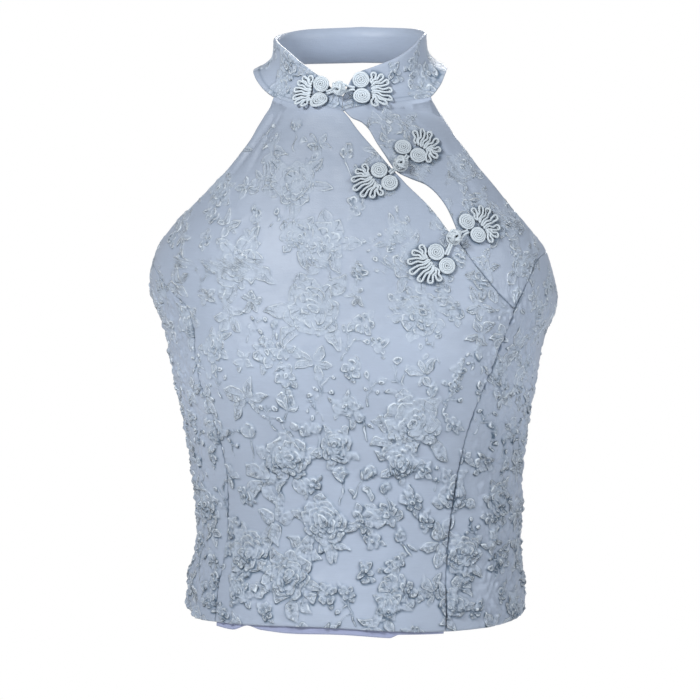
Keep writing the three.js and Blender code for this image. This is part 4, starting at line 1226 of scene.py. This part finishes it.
def cord_piece(name, spot, paths, radius, node, strand_depth=0.13, twist=3.2, close_first=False):
    points, edges = [], []
    for path in paths:
        first, count = len(points), len(path)
        points.extend((on_cloth(spot, path) * MM).tolist())
        edges.extend((first + i, first + i + 1) for i in range(count - 1))
        if close_first and first == 0:
            edges.append((count - 1, 0))
    line = bpy.data.meshes.new(name + "_line")
    line.from_pydata(points, edges, [])
    holder = add_object(name + "_line", line)
    modifier = holder.modifiers.new("cord", "NODES")
    modifier.node_group = cord_tree
    values = (radius * MM, strand_depth, twist * MM, CORD_STEP * MM, cord_satin)
    for socket_id, value in zip(cord_ids, values):
        modifier[socket_id] = value
    mesh = bpy.data.meshes.new_from_object(holder.evaluated_get(bpy.context.evaluated_depsgraph_get()))
    mesh.name = name
    # Painted light and shade by height, as on the cloth
    give_painted_shading(mesh)
    bpy.data.objects.remove(holder)
    dress(add_object(name, mesh), node)


def coil_path(across):
    angle = np.linspace(0, CIRCLE * DISC.turns, 190)
    radius = np.minimum(0.25 + DISC.pitch * angle / CIRCLE, DISC.radius - DISC.cord)
    lift = FASTENING_LIFT + DISC.cord + DISC.dome * (1 - (radius / DISC.radius) ** 2)
    return together(radius * np.cos(angle), across + radius * np.sin(angle), lift)


for half in halves:
    half.spot = cloth_frame(KNOTS[half.frog][0], half.angle, half.height, half.turn)
    for label, way in (("a", 1), ("b", -1)):
        node = f"{half.frog}_disc_{half.side}_{label}"
        coil = coil_path(way * (DISC.apart / 2 + SEAM / 2))
        cord_piece(node + "_coil", half.spot, [coil], DISC.cord, node)


# Frog fans. The same cord goes out and back in seven narrow loops spread round the two discs. Each is
# pinched along its sides, round at its end, and sewn down there with a few turns of pale thread.
FAN = Sizes(loops=7, sweep=90, at=8.3, reach=12.0, longer=2.2, root_out=-0.3, root_across=5.6)
FAN_CORD = Sizes(radius=0.84, pinch=1.2, root_pinch=0.8, eyelet=1.85, sway=0.85)
STITCH_DOT = Sizes(radius=0.55, around=10, rings=6)


def smooth_path(points, per_span=6):
    points = np.asarray(points, float)
    padded = np.concatenate([points[:1], points, points[-1:]])
    t = np.linspace(0, 1, per_span, endpoint=False)[:, None]
    spans = []
    for a, b, c, d in zip(padded[:-3], padded[1:-2], padded[2:-1], padded[3:]):
        cubic = (3 * b - a - 3 * c + d) * t**3
        spans.append(0.5 * (2 * b + (c - a) * t + (2 * a - 5 * b + 4 * c - d) * t**2 + cubic))
    return np.concatenate(spans + [points[-1:]])


def fan_loop(half, i):
    swing = -FAN.sweep + 2 * FAN.sweep * i / (FAN.loops - 1)
    angle = math.radians(swing + half.fan_turn)
    out = np.array([math.cos(angle), math.sin(angle)])
    start = np.array([FAN.at, half.skew])
    reach = (FAN.reach + FAN.longer * math.cos(math.radians(swing)) ** 2) * half.size
    tip = start + out * reach
    root = start + np.array([FAN.root_out * math.cos(angle), FAN.root_across * math.sin(angle)])
    along = (tip - root) / np.linalg.norm(tip - root)
    return root, tip, along, np.array([-along[1], along[0]])


def fan_path(half):
    points = []
    for i in range(FAN.loops):
        root, tip, out, side = fan_loop(half, i)
        lift = FASTENING_LIFT + FAN_CORD.radius + 0.35 * (i % 2)
        leg_out, leg_back = [], []
        for share, width in zip((0.0, 0.3, 0.6), (FAN_CORD.root_pinch, FAN_CORD.pinch, FAN_CORD.pinch)):
            middle = root + (tip - root) * share + side * (FAN_CORD.sway * math.sin(CIRCLE * share))
            leg_out.append(middle - side * width)
            leg_back.insert(0, middle + side * width)
        bends = np.radians([-105, -55, 0, 55, 105])
        eye = [tip + FAN_CORD.eyelet * (out * math.cos(b) + side * math.sin(b)) for b in bends]
        points.extend([*spot, lift] for spot in leg_out + eye + leg_back)
    return smooth_path(points)


def stitch_dots(name, places, node):
    verts, faces = [], []
    around, rings = STITCH_DOT.around, STITCH_DOT.rings
    for place in places:
        first = len(verts)
        for r in range(rings + 1):
            tilt = math.pi * (0.02 + 0.96 * r / rings)
            for a in range(around):
                turn = CIRCLE * a / around
                flat = math.sin(tilt)
                ball = np.array([flat * math.cos(turn), flat * math.sin(turn), math.cos(tilt)])
                verts.append(tuple((place + ball * STITCH_DOT.radius) * MM))
        for r in range(rings):
            for a in range(around):
                b = (a + 1) % around
                low, high = first + r * around, first + (r + 1) * around
                faces.append((low + a, high + a, high + b, low + b))
        faces.append([first + a for a in range(around)])
        faces.append([first + rings * around + a for a in reversed(range(around))])
    mesh = bpy.data.meshes.new(name)
    mesh.from_pydata(verts, [], faces)
    mesh.shade_smooth()
    # Painted light and shade by height, as on the cloth
    give_painted_shading(mesh)
    mesh.materials.append(cord_satin)
    dress(add_object(name, mesh), node)


for half in halves:
    node = f"{half.frog}_fan_{half.side}"
    cord_piece(node + "_loops", half.spot, [fan_path(half)], FAN_CORD.radius, node)
    tips = [[*fan_loop(half, i)[1], FASTENING_LIFT + 0.5] for i in range(FAN.loops)]
    stitch_dots(node + "_stitches", on_cloth(half.spot, tips), node)


# Painted shadow of each frog on the cloth, in the gaps of its fan and close round its discs
FROG_SHADOW = Sizes(dark=0.72, spread=1.3)


def shade_under(mesh, half):
    away = vertex_places(mesh) - half.spot["origin"]
    forward, across, lift = (away @ half.spot[way] for way in ("forward", "across", "up"))
    reach = (FAN.reach + FAN.longer) * half.size + 0.5
    ahead, aside = forward - FAN.at, across - half.skew
    turn = math.radians(half.fan_turn)
    fan = np.hypot(ahead, aside) - reach
    fan = np.where(ahead * math.cos(turn) + aside * math.sin(turn) > -1.5, fan, 9)
    discs = np.hypot(forward, np.abs(across) - DISC.apart / 2) - DISC.radius - 0.5
    gap = np.where(np.abs(lift) < 12, np.minimum(fan, discs), 99)
    shade = FROG_SHADOW.dark * bell(np.clip(gap, 0, 99), FROG_SHADOW.spread)
    painted_shade_value = vertex_values(mesh, "hollow")
    shade = np.where(vertex_values(mesh, "line") > 0, np.maximum(painted_shade_value, shade), painted_shade_value)
    mesh.attributes["hollow"].data.foreach_set("value", shade.astype(np.float32))


for half in halves:
    for piece in [collar] if half.frog == "neck" else [front, chest_piece]:
        shade_under(piece.data, half)


# Frog knots and loops. A round button knot is woven from the cord and tied at the end of a doubled
# cord from the right half, and the left half's doubled cord goes round its neck and fastens it.
KNOT = Sizes(radius=4.15, weave=0.5, flat=0.85, height=1.7, cord=1.02, tall=58, tilt=50, turns=3, waves=4)
KNOT_MIDDLE = KNOT.height + (KNOT.radius + KNOT.cord) * KNOT.flat
STEM = Sizes(notch=4.5, cord=0.88, apart=0.95, lift=1.6)
LOOP = Sizes(closed=0.95, round=4.7, lift=1.8)


def cord_spot(knot_spot, half_spot):
    notch = half_spot["origin"] - half_spot["forward"] * STEM.notch
    run = notch - knot_spot["origin"]
    forward = run - knot_spot["up"] * (run @ knot_spot["up"])
    forward /= np.linalg.norm(forward)
    spot = dict(knot_spot, forward=forward, across=np.cross(knot_spot["up"], forward))
    return spot, float(run @ forward)


def knot_path():
    t = np.linspace(0, CIRCLE, 240, endpoint=False)
    around = KNOT.turns * t
    up = math.radians(KNOT.tall) * np.sin(KNOT.waves * t)
    radius = KNOT.radius + KNOT.weave * np.sin(2 * KNOT.waves * t)
    x = radius * np.cos(up) * np.cos(around)
    y = radius * np.cos(up) * np.sin(around)
    z = radius * np.sin(up)
    cosine, sine = math.cos(math.radians(KNOT.tilt)), math.sin(math.radians(KNOT.tilt))
    leaned = together(x, y * cosine - z * sine, y * sine + z * cosine)
    return leaned * [1, 1, KNOT.flat] + [0, 0, KNOT_MIDDLE]


def core_path():
    turns = np.linspace(0, 10 * math.pi, 110)
    rise = np.linspace(-0.92, 0.92, 110)
    core = KNOT.radius - 1.1
    radius = core * np.sqrt(1 - rise**2)
    height = KNOT_MIDDLE + rise * core * KNOT.flat
    return together(radius * np.cos(turns), radius * np.sin(turns), height)


for name, (on, angle, height) in KNOTS.items():
    knot_spot = cloth_frame(on, angle, height, 0)
    right_spot, left_spot = (half.spot for half in halves if half.frog == name)
    stem_spot, stem_length = cord_spot(knot_spot, right_spot)
    strands = []
    for side in (-1, 1):
        share = np.linspace(0, 1, 10)
        lift = STEM.lift + 0.6 * ease((share - 0.7) * 3)
        leg = together(stem_length * (1 - share), side * STEM.apart * (1 - 0.3 * share), lift)
        rise = [[0, side * STEM.apart * 0.5, KNOT.height + 2.5]]
        strands.append(np.concatenate([leg, rise]))
    weave = [knot_path(), core_path()]
    cord_piece(f"{name}_button", stem_spot, weave, KNOT.cord, f"{name}_knot", 0.1, 3.6, True)
    cord_piece(f"{name}_stem", stem_spot, strands, STEM.cord, f"{name}_knot")
    loop_spot, loop_length = cord_spot(knot_spot, left_spot)
    bends = np.radians(np.linspace(38, 322, 15))
    eye = [[LOOP.round * math.cos(b), LOOP.round * math.sin(b), LOOP.lift] for b in bends]
    near_knot = loop_length * 0.72
    out = [[loop_length, LOOP.closed, STEM.lift], [near_knot, LOOP.closed + 0.2, STEM.lift]]
    back = [[near_knot, -LOOP.closed - 0.2, STEM.lift], [loop_length, -LOOP.closed, STEM.lift]]
    noose = smooth_path(out + eye + back)
    cord_piece(f"{name}_noose", loop_spot, [noose], STEM.cord, f"{name}_loop")
